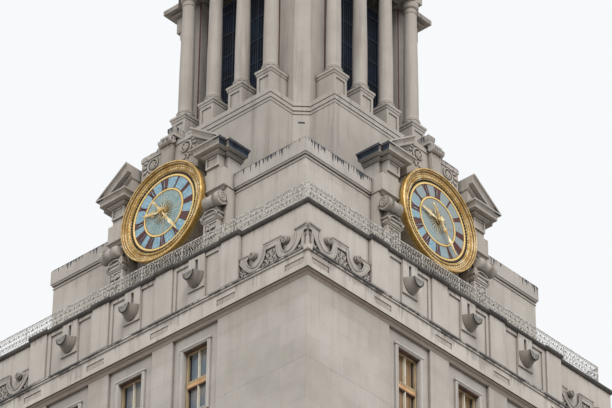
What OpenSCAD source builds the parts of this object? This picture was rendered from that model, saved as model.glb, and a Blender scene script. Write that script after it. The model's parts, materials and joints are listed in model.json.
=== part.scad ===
// Clock tower of limestone, modelled at 1:10, with its origin on the ground at the tower's axis.
// Every size is in model millimetres, so 100 mm here are 1 m on the real tower.
// A side is drawn once as the front, which faces -Y, and turned to the other three.

/* [Shaft] */
// Width of the square shaft from face to face
shaft_w = 1788; // [1740:2:1840]
// Height of the shaft walls above the ground
shaft_h = 6953; // [6900:1:7300]
// Thickness of the outer walls
wall_t = 90; // [70:1:100]
// Height of the plain base course
plinth_h = 200; // [150:5:260]
// How far the base course stands out from the walls
plinth_out = 30; // [10:1:60]
// Height from one window row to the next
storey_h = 425; // [400:1:426]
// Thickness of a floor slab
floor_t = 25; // [15:1:40]
// Drop from a window's sill to the floor behind it
sill_drop = 80; // [60:1:90]

/* [Windows] */
// Width of a window's opening
win_w = 122; // [100:1:135]
// Height of a window's opening
win_h = 275; // [240:1:290]
// Distance between the middles of two windows in a row
win_pitch = 336; // [320:1:350]
// Height of wall between the top window heads and the top of the shaft
win_head = 67; // [55:1:75]
// Width of the sunk strip that holds a column of windows
strip_w = 229; // [200:1:240]
// Depth of the sunk strips
strip_depth = 11; // [6:1:16]
// Width of the moulded frame round a window
frame_w = 13; // [8:1:16]
// How far the moulded frame stands out of the strip
frame_out = 8; // [4:1:10]

/* [Cornice] */
// Height of the cornice above the shaft walls
cornice_h = 107; // [95:1:120]
// How far the fascia stands out from the wall
fascia_out = 20; // [12:1:30]
// Height of the cove under the fascia
cove_h = 20; // [14:1:28]
// Height of the double sill moulding on top of the fascia
sill_h = 18; // [12:1:24]
// Thickness of the deck slab
deck_t = 87; // [60:1:92]

/* [Parapet] */
// Height of the parapet wall between the sill moulding and the coping
parapet_h = 219; // [200:1:240]
// Thickness of the parapet wall
parapet_t = 43; // [34:1:52]
// How far the parapet's panels stand back from the shaft's face
parapet_back = 11; // [6:1:18]
// How far the parapet between its outer piers stands out from the panels at the corners
bay_out = 11; // [6:1:14]
// Width of a parapet pier
pier_w = 88; // [76:1:96]
// How far a parapet pier stands out from the panels
pier_out = 18; // [12:1:24]
// Height of the coping
coping_h = 22; // [16:1:28]
// Width of the raised block behind a water spout
block_w = 82; // [74:1:90]
// Width of the water slot through that block
slot_w = 15; // [10:1:20]
// Height of the water slot
slot_h = 48; // [40:1:60]
// Drop from the coping to the flat top of a water spout
spout_drop = 82; // [74:1:90]
// Radius of a water spout's half-round trough at the wall
spout_r = 39; // [32:1:42]
// Length of a water spout
spout_len = 46; // [36:1:54]
// Height of a corner scroll's top step
scroll_h = 124; // [110:1:140]
// Height of the mesh fence above the coping
fence_h = 104; // [80:1:120]
// Thickness of the fence's rails and posts
rail_t = 3; // [2:0.5:6]

/* [Clock stage] */
// Width of the clock stage from wall to wall
stage_w = 1364; // [1330:2:1400]
// Height of the clock stage walls above the deck
stage_h = 664; // [640:1:690]
// Thickness of the clock stage walls
stage_t = 60; // [40:1:80]
// Height of the band on top of the clock stage
band_h = 77; // [60:1:90]
// How far the band stands out from the wall
band_out = 10; // [6:1:16]
// Distance from the middle of a dial to the outer edge of a clock pier
clock_pier_x = 315; // [300:1:325]
// Width of a clock pier
clock_pier_w = 105; // [90:1:115]
// How far a clock pier stands out from the stage wall
clock_pier_out = 63; // [50:1:70]
// How much further back a clock pier's face is under its string course
pier_setback = 19; // [10:1:24]
// Height of a clock pier above the deck
clock_pier_h = 815; // [790:1:850]
// Height of the sunk frieze at the top of a clock pier
pier_frieze_h = 50; // [40:1:60]
// Radius of the rolled console on a clock pier
console_r = 30; // [20:1:36]
// Drop from the middle of a dial to the middle of a console
console_drop = 79; // [60:1:90]
// Width of the pilaster under a console
pilaster_w = 76; // [60:1:84]

/* [Dial] */
// Height of a dial's middle above the deck
dial_rise = 674; // [650:1:700]
// Outer radius of the gilded bezel
bezel_r = 219; // [210:1:226]
// Radius of the dial inside the bezel
dial_r = 172; // [164:1:178]
// How far the bezel stands out from the stage wall
bezel_out = 88; // [80:1:96]
// Depth from the bezel's front edge down to the dial
dial_sink = 18; // [16:1:22]
// Radius of the arbor that carries the hands
arbor_r = 6; // [5:0.5:8]
// Length of the hour hand from its arbor
hour_len = 113; // [90:1:120]
// Length of the minute hand from its arbor
minute_len = 160; // [140:1:166]
// Length of the minute hand's tail
minute_tail = 74; // [40:1:90]

/* [Pediment] */
// Distance from the middle of a dial to the outer tip of a half pediment
ped_x = 337; // [330:1:350]
// Distance from the middle of a dial to the inner end of a half pediment
ped_in = 175; // [160:1:185]
// Rise of a raking cornice from its tip to its inner end
ped_rise = 115; // [90:1:130]
// Height of the pediment's cornice
ped_h = 45; // [36:1:54]
// How far that cornice stands out from the frieze under it
ped_lap = 47; // [40:1:50]
// How far the pediment's cornice stands out from the stage wall
ped_out = 118; // [100:1:126]
// How far the pediment and its piers run back over the clock stage's roof
ped_back = 42; // [36:1:50]
// Height of the attic wall between the half pediments above the dial's middle
attic_h = 342; // [320:1:380]
// Width of the attic wall
attic_w = 310; // [280:1:340]
// How far the attic wall stands out from the clock stage wall
attic_out = 48; // [30:1:60]
// Width of a keystone's fluted front
key_w = 64; // [50:1:76]
// How far a keystone stands out from the attic wall
key_out = 20; // [12:1:26]
// Height of the block on top of a keystone
cap_block_h = 56; // [30:1:70]

/* [Belfry] */
// Half the width of a portico at the base moulding
arm_w = 316; // [306:1:330]
// Distance from the axis to the front of the base moulding
arm_reach = 496; // [484:1:510]
// Distance from the axis to the inner end of a portico's side
cant_d = 365; // [356:1:375]
// Height of the belfry's base above the clock stage roof
base_h = 471; // [440:1:500]
// Height of the base moulding
base_mould_h = 62; // [50:1:70]
// Distance from the axis to the row of columns
col_d = 418; // [410:1:424]
// Distance between the middles of two columns
col_pitch = 159; // [150:1:162]
// Radius of a column at its foot
col_r = 31; // [26:1:33]
// Height of a column with its base and cap
col_h = 634; // [600:1:670]
// Width of a pedestal
ped_w = 76; // [72:1:84]
// Height of a pedestal with its cap
pedestal_h = 156; // [140:1:170]
// Height of the beams over the columns
beam_h = 80; // [60:1:100]
// Height of the cornice over the beams
top_cornice_h = 38; // [30:1:50]
// Height of the stepped stone roof
roof_h = 142; // [100:1:180]

/* [Hidden] */

stone = "#b2aaa2";
shade_stone = "#7b6b60";
dark_stone = "#4a4744";
slate_stone = "#2a3340";
gold = "#c9a24a";
dial_blue = "#8fb4c4";
mesh_grey = "#8a8c8e";
screen_blue = "#10243c";

// Running clearance of a hub on its arbor, and the joint between stones that only meet
run_gap = 0.05;
seam = 0.3;
fine = 96;

// Levels, from the ground up
wall_d = shaft_w / 2;
inner_d = wall_d - wall_t;
head_z = shaft_h - win_head;
split_z = head_z - win_h - (storey_h - win_h) / 2;
window_rows = 1 + floor((head_z - win_h - plinth_h) / storey_h);
sill_z = shaft_h + cornice_h;
deck_z = shaft_h + deck_t;
coping_z = sill_z + parapet_h;
stage_d = stage_w / 2;
band_z = deck_z + stage_h;
roof_z = band_z + band_h;
dial_z = deck_z + dial_rise;
floor_z = roof_z + base_h + base_mould_h;
pedestal_top = floor_z + pedestal_h;
beam_z = pedestal_top + col_h;
top_z = beam_z + beam_h;
eaves_z = top_z + top_cornice_h;

// Places in plan, as distances from the axis
panel_d = wall_d - parapet_back;
pier_d = panel_d + pier_out;
parapet_in = panel_d - parapet_t;
fascia_d = wall_d + fascia_out;
dial_face_d = stage_d + bezel_out - dial_sink;
clock_pier_d = stage_d + clock_pier_out;
pier_xs = [-1.5 * win_pitch - 4, -win_pitch / 2, win_pitch / 2, 1.5 * win_pitch + 4];
bay_xs = [-win_pitch, 0, win_pitch];

// The time that the hands show at rest, as turns clockwise from twelve
rest_minute = 24;
rest_hour = 9 + rest_minute / 60;

function arc(cx, cy, r, a0, a1, n) =
  [for (i = [0:n]) [cx + r * cos(a0 + (a1 - a0) * i / n), cy + r * sin(a0 + (a1 - a0) * i / n)]];

// A cross in plan with its inner corners cut at 45 degrees
function cross_plan(half, reach, cant) = [
  [half, -cant], [half, -reach], [-half, -reach], [-half, -cant],
  [-cant, -half], [-reach, -half], [-reach, half], [-cant, half],
  [-half, cant], [-half, reach], [half, reach], [half, cant],
  [cant, half], [reach, half], [reach, -half], [cant, -half]];

module on_side(k) rotate([0, 0, 90 * k]) children();
module on_sides() for (k = [0:3]) on_side(k) children();

// A box of the front side, given by its middle and width along the side, its depths and its levels
module side_box(x, w, d0, d1, z0, z1)
  translate([x - w / 2, -d1, z0]) cube([w, d1 - d0, z1 - z0]);

// A flat outline in [place along the side, level], drawn out from d0 to d1
module front_plate(d0, d1, outline)
  translate([0, -d0, 0]) rotate([90, 0, 0]) linear_extrude(d1 - d0) polygon(outline);

// A straight run along the front whose section is a list of [distance from the axis, level]
module run(half, section)
  translate([-half, 0, 0]) rotate([90, 0, 90]) linear_extrude(2 * half)
    polygon([for (p = section) [-p[0], p[1]]]);

// The quarter of the plan that belongs to the front, short of its mitres by half a joint
module front_quarter(z0, z1)
  translate([0, -seam, z0]) linear_extrude(z1 - z0)
    polygon([[0, 0], [shaft_w, -shaft_w], [-shaft_w, -shaft_w]]);

// A block whose front and both ends carry one moulding, given from the bottom up as [stand-out, height].
// The factors give how much of the stand-out each end has.
module moulded_block(x0, x1, d0, d1, z, section, end0 = 1, end1 = 1) {
  reach = max([for (p = section) p[0]]);
  last = len(section) - 1;
  intersection() {
    front_plate(d0, d1 + reach, concat([for (p = section) [x1 + end1 * p[0], z + p[1]]],
      [for (i = [last:-1:0]) [x0 - end0 * section[i][0], z + section[i][1]]]));
    run(shaft_w, concat([for (p = section) [d1 + p[0], z + p[1]]],
      [[d0, z + section[last][1]], [d0, z + section[0][1]]]));
  }
}

module mitred_run(section, z0, z1)
  intersection() {
    run(shaft_w, section);
    front_quarter(z0, z1);
  }

// A revolved piece whose axis points out of the front at the given place
module turned_out(x, z, d) translate([x, -d, z]) rotate([90, 0, 0]) children();

module plinth()
  color(stone) on_sides()
    mitred_run([[inner_d, 0], [wall_d + plinth_out, 0], [wall_d + plinth_out, plinth_h - 12],
      [wall_d, plinth_h], [inner_d, plinth_h]], 0, plinth_h);

module shaft_wall(k) {
  half = k % 2 == 0 ? wall_d : inner_d;
  color(stone) on_side(k) difference() {
    side_box(0, 2 * half, inner_d, wall_d, plinth_h, split_z);
    for (x = bay_xs) side_box(x, strip_w, wall_d - strip_depth, wall_d + 1, plinth_h - 1, split_z + 1);
    for (x = bay_xs, row = [1:window_rows - 1])
      side_box(x, win_w, inner_d - 1, wall_d + 1, head_z - row * storey_h - win_h, head_z - row * storey_h);
  }
}

module shaft_front() shaft_wall(0);
module shaft_right() shaft_wall(1);
module shaft_back() shaft_wall(2);
module shaft_left() shaft_wall(3);

// The top storey is a course under the windows, a course over them and the four piers between
module top_storey(k) {
  half = k % 2 == 0 ? wall_d : inner_d;
  edges = [-half, for (x = bay_xs, s = [-1, 1]) x + s * win_w / 2, half];
  color(stone) on_side(k) difference() {
    union() {
      side_box(0, 2 * half, inner_d, wall_d, split_z, head_z - win_h);
      side_box(0, 2 * half, inner_d, wall_d, head_z, shaft_h);
      for (i = [0:3])
        side_box((edges[2 * i] + edges[2 * i + 1]) / 2, edges[2 * i + 1] - edges[2 * i], inner_d, wall_d,
          head_z - win_h + seam, head_z - seam);
    }
    for (x = bay_xs) side_box(x, strip_w, wall_d - strip_depth, wall_d + 1, split_z - 1, shaft_h + 1);
  }
}

module top_storey_front() top_storey(0);
module top_storey_right() top_storey(1);
module top_storey_back() top_storey(2);
module top_storey_left() top_storey(3);

module floor_slab(top)
  translate([-inner_d, -inner_d, top - floor_t]) cube([2 * inner_d, 2 * inner_d, floor_t]);

module storey_floors() color(stone) {
  floor_slab(floor_t);
  for (row = [0:window_rows - 1]) floor_slab(head_z - win_h - sill_drop - row * storey_h);
}

module window_surround(x) {
  face = wall_d - strip_depth;
  outer_w = win_w + 2 * frame_w;
  outer_z = head_z + frame_w;
  difference() {
    union() {
      side_box(x, outer_w, face, face + frame_out, head_z - win_h - frame_w, outer_z);
      side_box(x, outer_w + 8, face, face + frame_out + 3, outer_z - 4, outer_z + 3);
    }
    side_box(x, win_w, face - 1, face + frame_out + 4, head_z - win_h, head_z);
  }
}

module window_surrounds() color(stone) on_sides() for (x = bay_xs) window_surround(x);

module deck_slab()
  color(stone) translate([-parapet_in + 5, -parapet_in + 5, shaft_h])
    cube([2 * (parapet_in - 5), 2 * (parapet_in - 5), deck_t]);

// Sunk panels in the fascia, one beside each corner block and one under each parapet pier
fascia_panel_w = 92;
fascia_panel_h = 26;
corner_block_w = 21;
fascia_z = shaft_h + cove_h;
fascia_top = sill_z - sill_h;
fascia_mid = (fascia_z + fascia_top) / 2;
corner_panel_x = fascia_d - corner_block_w - fascia_panel_w / 2;

module cornice() color(stone) on_sides() difference() {
  mitred_run(concat(
    [[parapet_in - 5, shaft_h], [wall_d, shaft_h]],
    arc(fascia_d - 4, shaft_h - 0.01, 16, 180, 90, 5),
    [[fascia_d - 4, fascia_z], [fascia_d, fascia_z], [fascia_d, fascia_top],
     [fascia_d + 5, fascia_top + 1], [fascia_d + 5, fascia_top + sill_h / 2 - 1],
     [fascia_d + 2, fascia_top + sill_h / 2], [fascia_d + 9, fascia_top + sill_h / 2 + 1],
     [fascia_d + 9, sill_z - 2], [fascia_d + 6, sill_z], [parapet_in - 5, sill_z]]),
    shaft_h - 1, sill_z + 1);
  for (x = concat([-corner_panel_x], pier_xs, [corner_panel_x]))
    side_box(x, fascia_panel_w, fascia_d - 3, fascia_d + 1,
      fascia_mid - fascia_panel_h / 2, fascia_mid + fascia_panel_h / 2);
}

block_z = sill_z + 77;
bay_d = panel_d + bay_out;
block_d = bay_d + 5;
module parapet_wall(k) {
  half = k % 2 == 0 ? panel_d : parapet_in;
  color(stone) on_side(k) difference() {
    union() {
      side_box(0, 2 * half, parapet_in, panel_d, sill_z, coping_z);
      side_box(0, 2 * pier_xs[3], panel_d - 1, bay_d, sill_z, coping_z);
      for (x = pier_xs) side_box(x, pier_w, panel_d - 1, pier_d, sill_z, coping_z);
      for (x = bay_xs) {
        side_box(x, block_w, bay_d - 1, block_d, block_z, coping_z);
        side_box(x, block_w + 4, bay_d - 1, block_d + 2, block_z - 5, block_z);
      }
    }
    for (x = bay_xs) {
      side_box(x, slot_w, parapet_in - 1, bay_d + 7, coping_z - slot_h - 12, coping_z - 12);
      for (s = [-1, 1])
        side_box(x + s * (block_w / 2 + 35), 66, bay_d - 6, bay_d + 1, sill_z + 20, coping_z - 15);
    }
  }
}

module parapet_front() parapet_wall(0);
module parapet_right() parapet_wall(1);
module parapet_back() parapet_wall(2);
module parapet_left() parapet_wall(3);

function coping_section(d) = concat(
  [[parapet_in - 4, coping_z], [d, coping_z]], arc(d, coping_z + coping_h / 2, coping_h / 2, -90, 90, 8),
  [[parapet_in - 4, coping_z + coping_h]]);

module coping() color(dark_stone) on_sides() intersection() {
  union() {
    run(shaft_w, coping_section(panel_d));
    run(pier_xs[3], coping_section(bay_d));
    for (x = pier_xs) translate([x, 0, 0]) run(pier_w / 2 + 4, coping_section(pier_d));
  }
  front_quarter(coping_z - 1, coping_z + coping_h + 1);
}

// Scrolls that climb from the last pier towards each corner on both faces. A point is given as its share
// of the run from the pier to the corner and its share of the height, so the scrolls always fill the run.
scroll_out = 10;
scroll_x = pier_xs[3] + pier_w / 2 + 3;
scroll_len = panel_d - seam - scroll_x;
eye_at = [[0.198, 0.774], [0.69, 0.766]];
eye_r = 14;
low_bar = [[0, 0.69], [0, 0.87], [0.125, 0.87], [0.125, 0.75], [0.1, 0.72]];
low_ribbon = [[0.011, 0.7], [0.04, 0.556], [0.07, 0.44], [0.11, 0.33], [0.145, 0.25], [0.186, 0.206],
  [0.23, 0.19], [0.273, 0.204], [0.315, 0.27], [0.348, 0.369], [0.367, 0.48], [0.38, 0.6], [0.39, 0.77],
  [0.39, 0.9], [0.353, 0.91], [0.351, 0.67], [0.338, 0.57], [0.314, 0.484], [0.288, 0.4], [0.261, 0.347],
  [0.234, 0.33], [0.207, 0.347], [0.172, 0.395], [0.14, 0.465], [0.115, 0.56], [0.0945, 0.7]];
high_bar = [[0.353, 0.76], [0.353, 1], [0.625, 1], [0.625, 0.88], [0.61, 0.86], [0.61, 0.75]];
high_ribbon = [[0.556, 0.77], [0.561, 0.593], [0.57, 0.47], [0.585, 0.363], [0.608, 0.27], [0.64, 0.194],
  [0.68, 0.14], [0.726, 0.117], [0.78, 0.155], [0.832, 0.242], [0.88, 0.38], [0.918, 0.544], [0.94, 0.68],
  [0.945, 0.82], [0.856, 0.95], [0.852, 0.62], [0.825, 0.48], [0.789, 0.37], [0.757, 0.325], [0.726, 0.31],
  [0.69, 0.34], [0.662, 0.398], [0.64, 0.47], [0.628, 0.565], [0.625, 0.77]];
tablet = [[0.829, 0.93], [1, 0.955], [1, 0.8], [0.962, 0.785], [0.962, 0], [0.935, 0], [0.935, 0.7],
  [0.851, 0.85], [0.829, 0.87]];
infill = [[0, 0], [0, 0.72], [0.04, 0.5], [0.15, 0.2], [0.29, 0.2], [0.37, 0.45], [0.39, 0.8], [0.56, 0.8],
  [0.58, 0.3], [0.7, 0.1], [0.8, 0.18], [0.9, 0.42], [0.935, 0.7], [0.935, 0]];
function along_scroll(points) =
  [for (p = points) [scroll_x + p[0] * scroll_len, sill_z + p[1] * scroll_h]];
module scroll_half(s) mirror([s < 0 ? 1 : 0, 0, 0]) {
  front_plate(panel_d, panel_d + 4, along_scroll(infill));
  for (piece = [low_bar, low_ribbon, high_bar, high_ribbon, tablet])
    front_plate(panel_d, panel_d + scroll_out, along_scroll(piece));
  for (p = along_scroll(eye_at)) turned_out(p[0], p[1], panel_d) rotate_extrude($fn = 48)
    polygon([[0, 0], [eye_r, 0], [eye_r, 8], [eye_r - 2, 10], [eye_r - 2, 13], [eye_r, 15], [eye_r, 18],
      [0, 18]]);
}

module corner_scrolls() color(stone) on_sides() for (s = [-1, 1]) scroll_half(s);

// A half-round trough, open on top, that waists in and ends in a lip past the wall
spout_z = coping_z - spout_drop;
module water_spout(x) difference() {
  turned_out(x, spout_z, block_d) rotate_extrude($fn = fine)
    polygon([[0, 0], [spout_r, 0], [spout_r, spout_len * 0.34], [spout_r - 2, spout_len * 0.42],
      [spout_r * 0.8, spout_len * 0.54], [spout_r * 0.68, spout_len * 0.68],
      [spout_r * 0.66, spout_len * 0.8], [spout_r * 0.72, spout_len * 0.86],
      [spout_r * 0.76, spout_len * 0.93], [spout_r * 0.72, spout_len], [0, spout_len]]);
  turned_out(x, spout_z, block_d + 6) cylinder(h = spout_len, r = spout_r * 0.4, $fn = 48);
  side_box(x, 3 * spout_r, block_d - 1, block_d + spout_len + 1, spout_z, spout_z + 2 * spout_r);
}

module water_spouts() color(stone) on_sides() for (x = bay_xs) water_spout(x);

fence_d = parapet_in + 12;
fence_z = coping_z + coping_h;
module deck_fence() color(mesh_grey) on_sides() {
  half = fence_d - rail_t;
  side_box(0, 2 * half, fence_d, fence_d + rail_t, fence_z + fence_h - rail_t, fence_z + fence_h);
  side_box(0, 2 * half, fence_d, fence_d + rail_t, fence_z, fence_z + rail_t);
  for (i = [-4:4])
    side_box(i * (half - rail_t / 2) / 4, rail_t, fence_d, fence_d + rail_t, fence_z, fence_z + fence_h);
}

module arbor_bore()
  turned_out(0, dial_z, stage_d - stage_t - 1) cylinder(h = stage_t + 2, r = arbor_r + seam, $fn = 48);

module stage_wall(k) {
  half = k % 2 == 0 ? stage_d : stage_d - stage_t;
  color(stone) on_side(k) difference() {
    side_box(0, 2 * half, stage_d - stage_t, stage_d, deck_z, band_z);
    arbor_bore();
  }
}

module stage_front() stage_wall(0);
module stage_right() stage_wall(1);
module stage_back() stage_wall(2);
module stage_left() stage_wall(3);

// The band stops at the clock piers
string_z = band_z - 15;
band_d = stage_d + band_out;
module stage_band() color(stone) on_sides() difference() {
  union() {
    mitred_run([[stage_d - stage_t, band_z], [band_d - 4, band_z], [band_d - 4, band_z + 6],
      [band_d, band_z + 8], [band_d, roof_z - 6], [band_d - 3, roof_z - 3], [band_d - 3, roof_z],
      [stage_d - stage_t, roof_z]], band_z - 1, roof_z + 1);
    mitred_run([[stage_d, string_z], [stage_d + 3, string_z], [stage_d + 3, string_z + 4],
      [stage_d, string_z + 5]], string_z - 1, string_z + 6);
  }
  side_box(0, 2 * (clock_pier_x + seam), stage_d, band_d + 1, string_z - 1, roof_z + 1);
  arbor_bore();
}

roof_t = 30;
module stage_roof()
  color(stone) translate([-stage_d + stage_t + seam, -stage_d + stage_t + seam, roof_z - roof_t])
    cube([2 * (stage_d - stage_t - seam), 2 * (stage_d - stage_t - seam), roof_t]);

// The space that the bezel takes up, which the stones round it are cut back from
module bezel_space()
  turned_out(0, dial_z, stage_d - seam) cylinder(h = ped_out, r = bezel_r + seam, $fn = fine);

// The piers stand beside the dial, from the deck to the pediment, and run back over the roof. Above
// their shoulder each has a broad back part and a narrower front with a sunk frieze.
pier_in = clock_pier_x - clock_pier_w;
pier_mid = clock_pier_x - clock_pier_w / 2;
ped_z = deck_z + clock_pier_h;
ped_face = stage_d + ped_out - ped_lap;
front_x = ped_x - ped_lap;
front_in = ped_in + ped_lap;
front_mid = (front_in + front_x) / 2;
front_w = front_x - front_in;
upper_w = clock_pier_w - 9;
upper_mid = pier_in + upper_w / 2;
shoulder_z = ped_z - pier_frieze_h - 18;
back_face = ped_face - 38;
low_face = clock_pier_d - pier_setback;
pilaster_x = clock_pier_x - 21 - pilaster_w / 2;
pilaster_d = clock_pier_d + 5;
console_z = dial_z - console_drop;
pilaster_z = console_z - console_r - 53;
string_mould = [[0, 0], [4, 0], [4, 5], [2, 8], [0, 8]];
cap_mould = [[0, 0], [3, 0], [3, 4], [8, 8], [8, 12], [5, 14], [5, 22], [11, 25], [11, 30], [0, 30]];

module clock_pier() {
  side_box(pier_mid, clock_pier_w, stage_d, low_face, deck_z, band_z);
  side_box(pier_mid, clock_pier_w, stage_d, clock_pier_d, band_z, shoulder_z);
  side_box(upper_mid, upper_w, stage_d, back_face, shoulder_z, ped_z);
  side_box(upper_mid, upper_w, stage_d - ped_back, back_face, roof_z, ped_z);
  side_box(front_mid, front_w, back_face - 1, clock_pier_d, shoulder_z, ped_z);
  moulded_block(pier_in, clock_pier_x, band_d, clock_pier_d, band_z, string_mould, 0, 1);
  moulded_block(pier_in, clock_pier_x - 6, stage_d, clock_pier_d - 8, band_z - 10,
    [[-6, 0], [0, 8], [6, 10]], 0, 1);
  difference() {
    side_box(front_mid, front_w, clock_pier_d - 1, ped_face, ped_z - pier_frieze_h, ped_z);
    side_box(front_mid, front_w - 18, ped_face - 4, ped_face + 1, ped_z - pier_frieze_h + 10, ped_z - 6);
  }
  difference() {
    side_box(pilaster_x, pilaster_w, low_face - 1, pilaster_d, deck_z, pilaster_z);
    side_box(pilaster_x, pilaster_w - 16, pilaster_d - 3, pilaster_d + 1, deck_z + 60, pilaster_z - 9);
  }
  moulded_block(pilaster_x - pilaster_w / 2, pilaster_x + pilaster_w / 2, low_face - 1, pilaster_d,
    pilaster_z, cap_mould);
}

module clock_piers() color(stone) on_sides() for (s = [-1, 1]) difference() {
  mirror([s < 0 ? 1 : 0, 0, 0]) clock_pier();
  bezel_space();
}

// A roll that lies against the pier, waisted like a bolster, with a boss on its outer end
console_len = 94;
module console() difference() {
  translate([clock_pier_x + 9 - console_len, -low_face - console_r, console_z]) rotate([0, 90, 0])
    rotate_extrude($fn = fine) polygon([[0, 0], [console_r - 10, 0], [console_r - 4, 6], [console_r - 2, 16],
      [console_r - 5, 36], [console_r - 5, 40], [console_r - 3, 42], [console_r - 3, 46], [console_r - 5, 48],
      [console_r - 5, 52], [console_r - 1, console_len - 18], [console_r, console_len - 16],
      [console_r, console_len - 5], [console_r - 9, console_len - 5], [console_r - 11, console_len],
      [0, console_len]]);
  side_box(pier_mid, 3 * clock_pier_w, low_face - console_r, low_face, console_z - 2 * console_r,
    console_z + 2 * console_r);
  bezel_space();
}

module consoles() color(stone) on_sides() for (s = [-1, 1]) mirror([s < 0 ? 1 : 0, 0, 0]) console();

// The pediment's cornice, as heights and stand-outs that scale with its own height and lap
ped_mould = [for (p = concat([[0, 0], [0.15, 0], [0.15, 0.1]], arc(0.17, 0.24, 0.13, -90, 0, 4),
  [[0.3, 0.34], [0.74, 0.34], [0.74, 0.6]], arc(1, 0.62, 0.24, 180, 90, 5), [[1, 0.86], [1, 1], [0, 1]]))
  [p[0] * ped_lap, p[1] * ped_h]];
ped_slope = atan2(ped_rise, ped_x - ped_in);
gable_z = ped_z + ped_h - 1;

// The raking cornice is the same moulding laid up the slope and cut off upright at its inner end
module raking_cornice() intersection() {
  translate([ped_x, 0, ped_z + ped_h]) rotate([0, ped_slope, 0]) translate([0, 0, -ped_h])
    run(2 * ped_x, concat([for (p = ped_mould) [ped_face + p[0], p[1]]],
      [[stage_d - ped_back, ped_h], [stage_d - ped_back, 0]]));
  side_box((ped_in + ped_x) / 2, ped_x - ped_in, stage_d - ped_back, stage_d + ped_out, ped_z + ped_h - 1,
    ped_z + ped_h + 2 * ped_rise);
}

module half_pediment() {
  moulded_block(front_in, front_x, stage_d - ped_back, ped_face, ped_z, ped_mould);
  moulded_block(front_in, clock_pier_x - 9, stage_d - ped_back, back_face, ped_z, ped_mould);
  front_plate(stage_d - ped_back, ped_face + 4, [[ped_x - 24, gable_z], [ped_in + 4, gable_z],
    [ped_in + 4, gable_z + (ped_x - ped_in - 28) * tan(ped_slope)]]);
  raking_cornice();
}

module half_pediments() color(slate_stone) on_sides() for (s = [-1, 1])
  mirror([s < 0 ? 1 : 0, 0, 0]) half_pediment();

// The wall behind the dial's upper half, which comes forward over it between the half pediments
attic_d = stage_d + attic_out;
attic_top = dial_z + attic_h;
module attic_panels() color(stone) on_sides() difference() {
  union() {
    side_box(0, 2 * (pier_in - seam), stage_d - ped_back, stage_d, roof_z, ped_z);
    side_box(0, attic_w, stage_d - ped_back, attic_d, roof_z, attic_top - 26);
    moulded_block(-attic_w / 2, attic_w / 2, stage_d - ped_back, attic_d, attic_top - 26,
      [[0, 0], [3, 0], [3, 18], [0, 20], [0, 26]]);
  }
  bezel_space();
}

// A fluted fan over the dial that ends in a roll, a slab and a small capping block. The flutes spread
// with the fan's own sides.
key_d = attic_d + key_out;
key_z = dial_z + bezel_r + 2;
slab_z = attic_top + 13;
roll_r = 17;
roll_len = key_w * 1.12;
key_foot = 0.62;
key_spread = atan2(key_w * (1 - key_foot) / 2, slab_z - key_z);
slab_half = 32;
slab_t = 18;
cap_half = 15;
module keystones() color(stone) on_sides() {
  difference() {
    front_plate(attic_d, key_d, [[-key_w * key_foot / 2, key_z], [key_w * key_foot / 2, key_z],
      [key_w / 2, slab_z], [-key_w / 2, slab_z]]);
    for (i = [-2:2]) translate([i * key_w * key_foot / 5.4, -key_d - 1.5, key_z + 12])
      rotate([0, key_spread * i / 2.7, 0]) cylinder(h = attic_h, r = key_w / 15, $fn = 24);
    side_box(0, 2 * key_w, attic_d - 1, attic_d + 3 + seam, attic_top - 26, slab_z + 1);
  }
  difference() {
    translate([-roll_len / 2, -key_d, slab_z - roll_r - 2]) rotate([0, 90, 0]) rotate_extrude($fn = fine)
      polygon([[0, 0], [roll_r - 3, 0], [roll_r, 3], [roll_r, 9], [roll_r - 4, roll_len * 0.27],
        [roll_r - 4, roll_len * 0.73], [roll_r, roll_len - 9], [roll_r, roll_len - 3],
        [roll_r - 3, roll_len], [0, roll_len]]);
    side_box(0, 2 * key_w, attic_d - 60, attic_d + 3 + seam, attic_top - 60, slab_z + 40);
    side_box(0, key_w + seam, attic_d, key_d + 0.1, key_z, slab_z + 1);
  }
  moulded_block(-slab_half, slab_half, stage_d, key_d - 6, slab_z,
    [[0, 0], [6, 4], [6, slab_t - 3], [0, slab_t]]);
  moulded_block(-cap_half, cap_half, stage_d - 12, attic_d - 6, slab_z + slab_t,
    [[3, 0], [0, 6], [0, cap_block_h - 40], [5, cap_block_h - 24], [5, cap_block_h - 8]]);
}

// The bezel is a deep drum whose front edge leads through a cove down to the bead ring beside the dial
module bezels() color(gold) on_sides() turned_out(0, dial_z, stage_d) rotate_extrude($fn = fine)
  translate([bezel_r, 0])
    polygon([[dial_r - bezel_r, 0], [-3, 0], [-3, bezel_out - 20], [-1, bezel_out - 16], [-1, bezel_out - 10],
      [0, bezel_out - 8], [0, bezel_out - 2], [-2, bezel_out], [-7, bezel_out], [-9, bezel_out - 2],
      [-9, bezel_out - 4], [-11, bezel_out - 4], [-13, bezel_out - 9], [-17, bezel_out - 13],
      [-23, bezel_out - 15], [-31, bezel_out - 15.5], [-31, bezel_out - 13], [-33, bezel_out - 11],
      [-36, bezel_out - 11], [-38, bezel_out - 13], [-40, bezel_out - dial_sink],
      [dial_r - bezel_r, bezel_out - dial_sink]]);

// A dial is a thick disc with a raised ring at each edge of its band of numerals
ring_r = 105;
module dials() color(dial_blue) on_sides() turned_out(0, dial_z, stage_d) rotate_extrude($fn = fine) {
  face = bezel_out - dial_sink;
  polygon([[arbor_r + seam, 0], [dial_r - seam, 0], [dial_r - seam, face], [dial_r - 6, face],
    [dial_r - 7, face + 2], [dial_r - 13, face + 2], [dial_r - 14, face], [ring_r, face],
    [ring_r, face + 2], [ring_r - 6, face + 2], [ring_r - 6, face], [arbor_r + seam, face]]);
}

// The hands ride on the arbor one in front of the other
hand_t = 3;
hour_gap = 7;
hub_gap = 5.5;
hour_d = dial_face_d + hour_gap;
minute_d = hour_d + hand_t + hub_gap;
arbor_end = minute_d + hand_t + seam;

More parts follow.
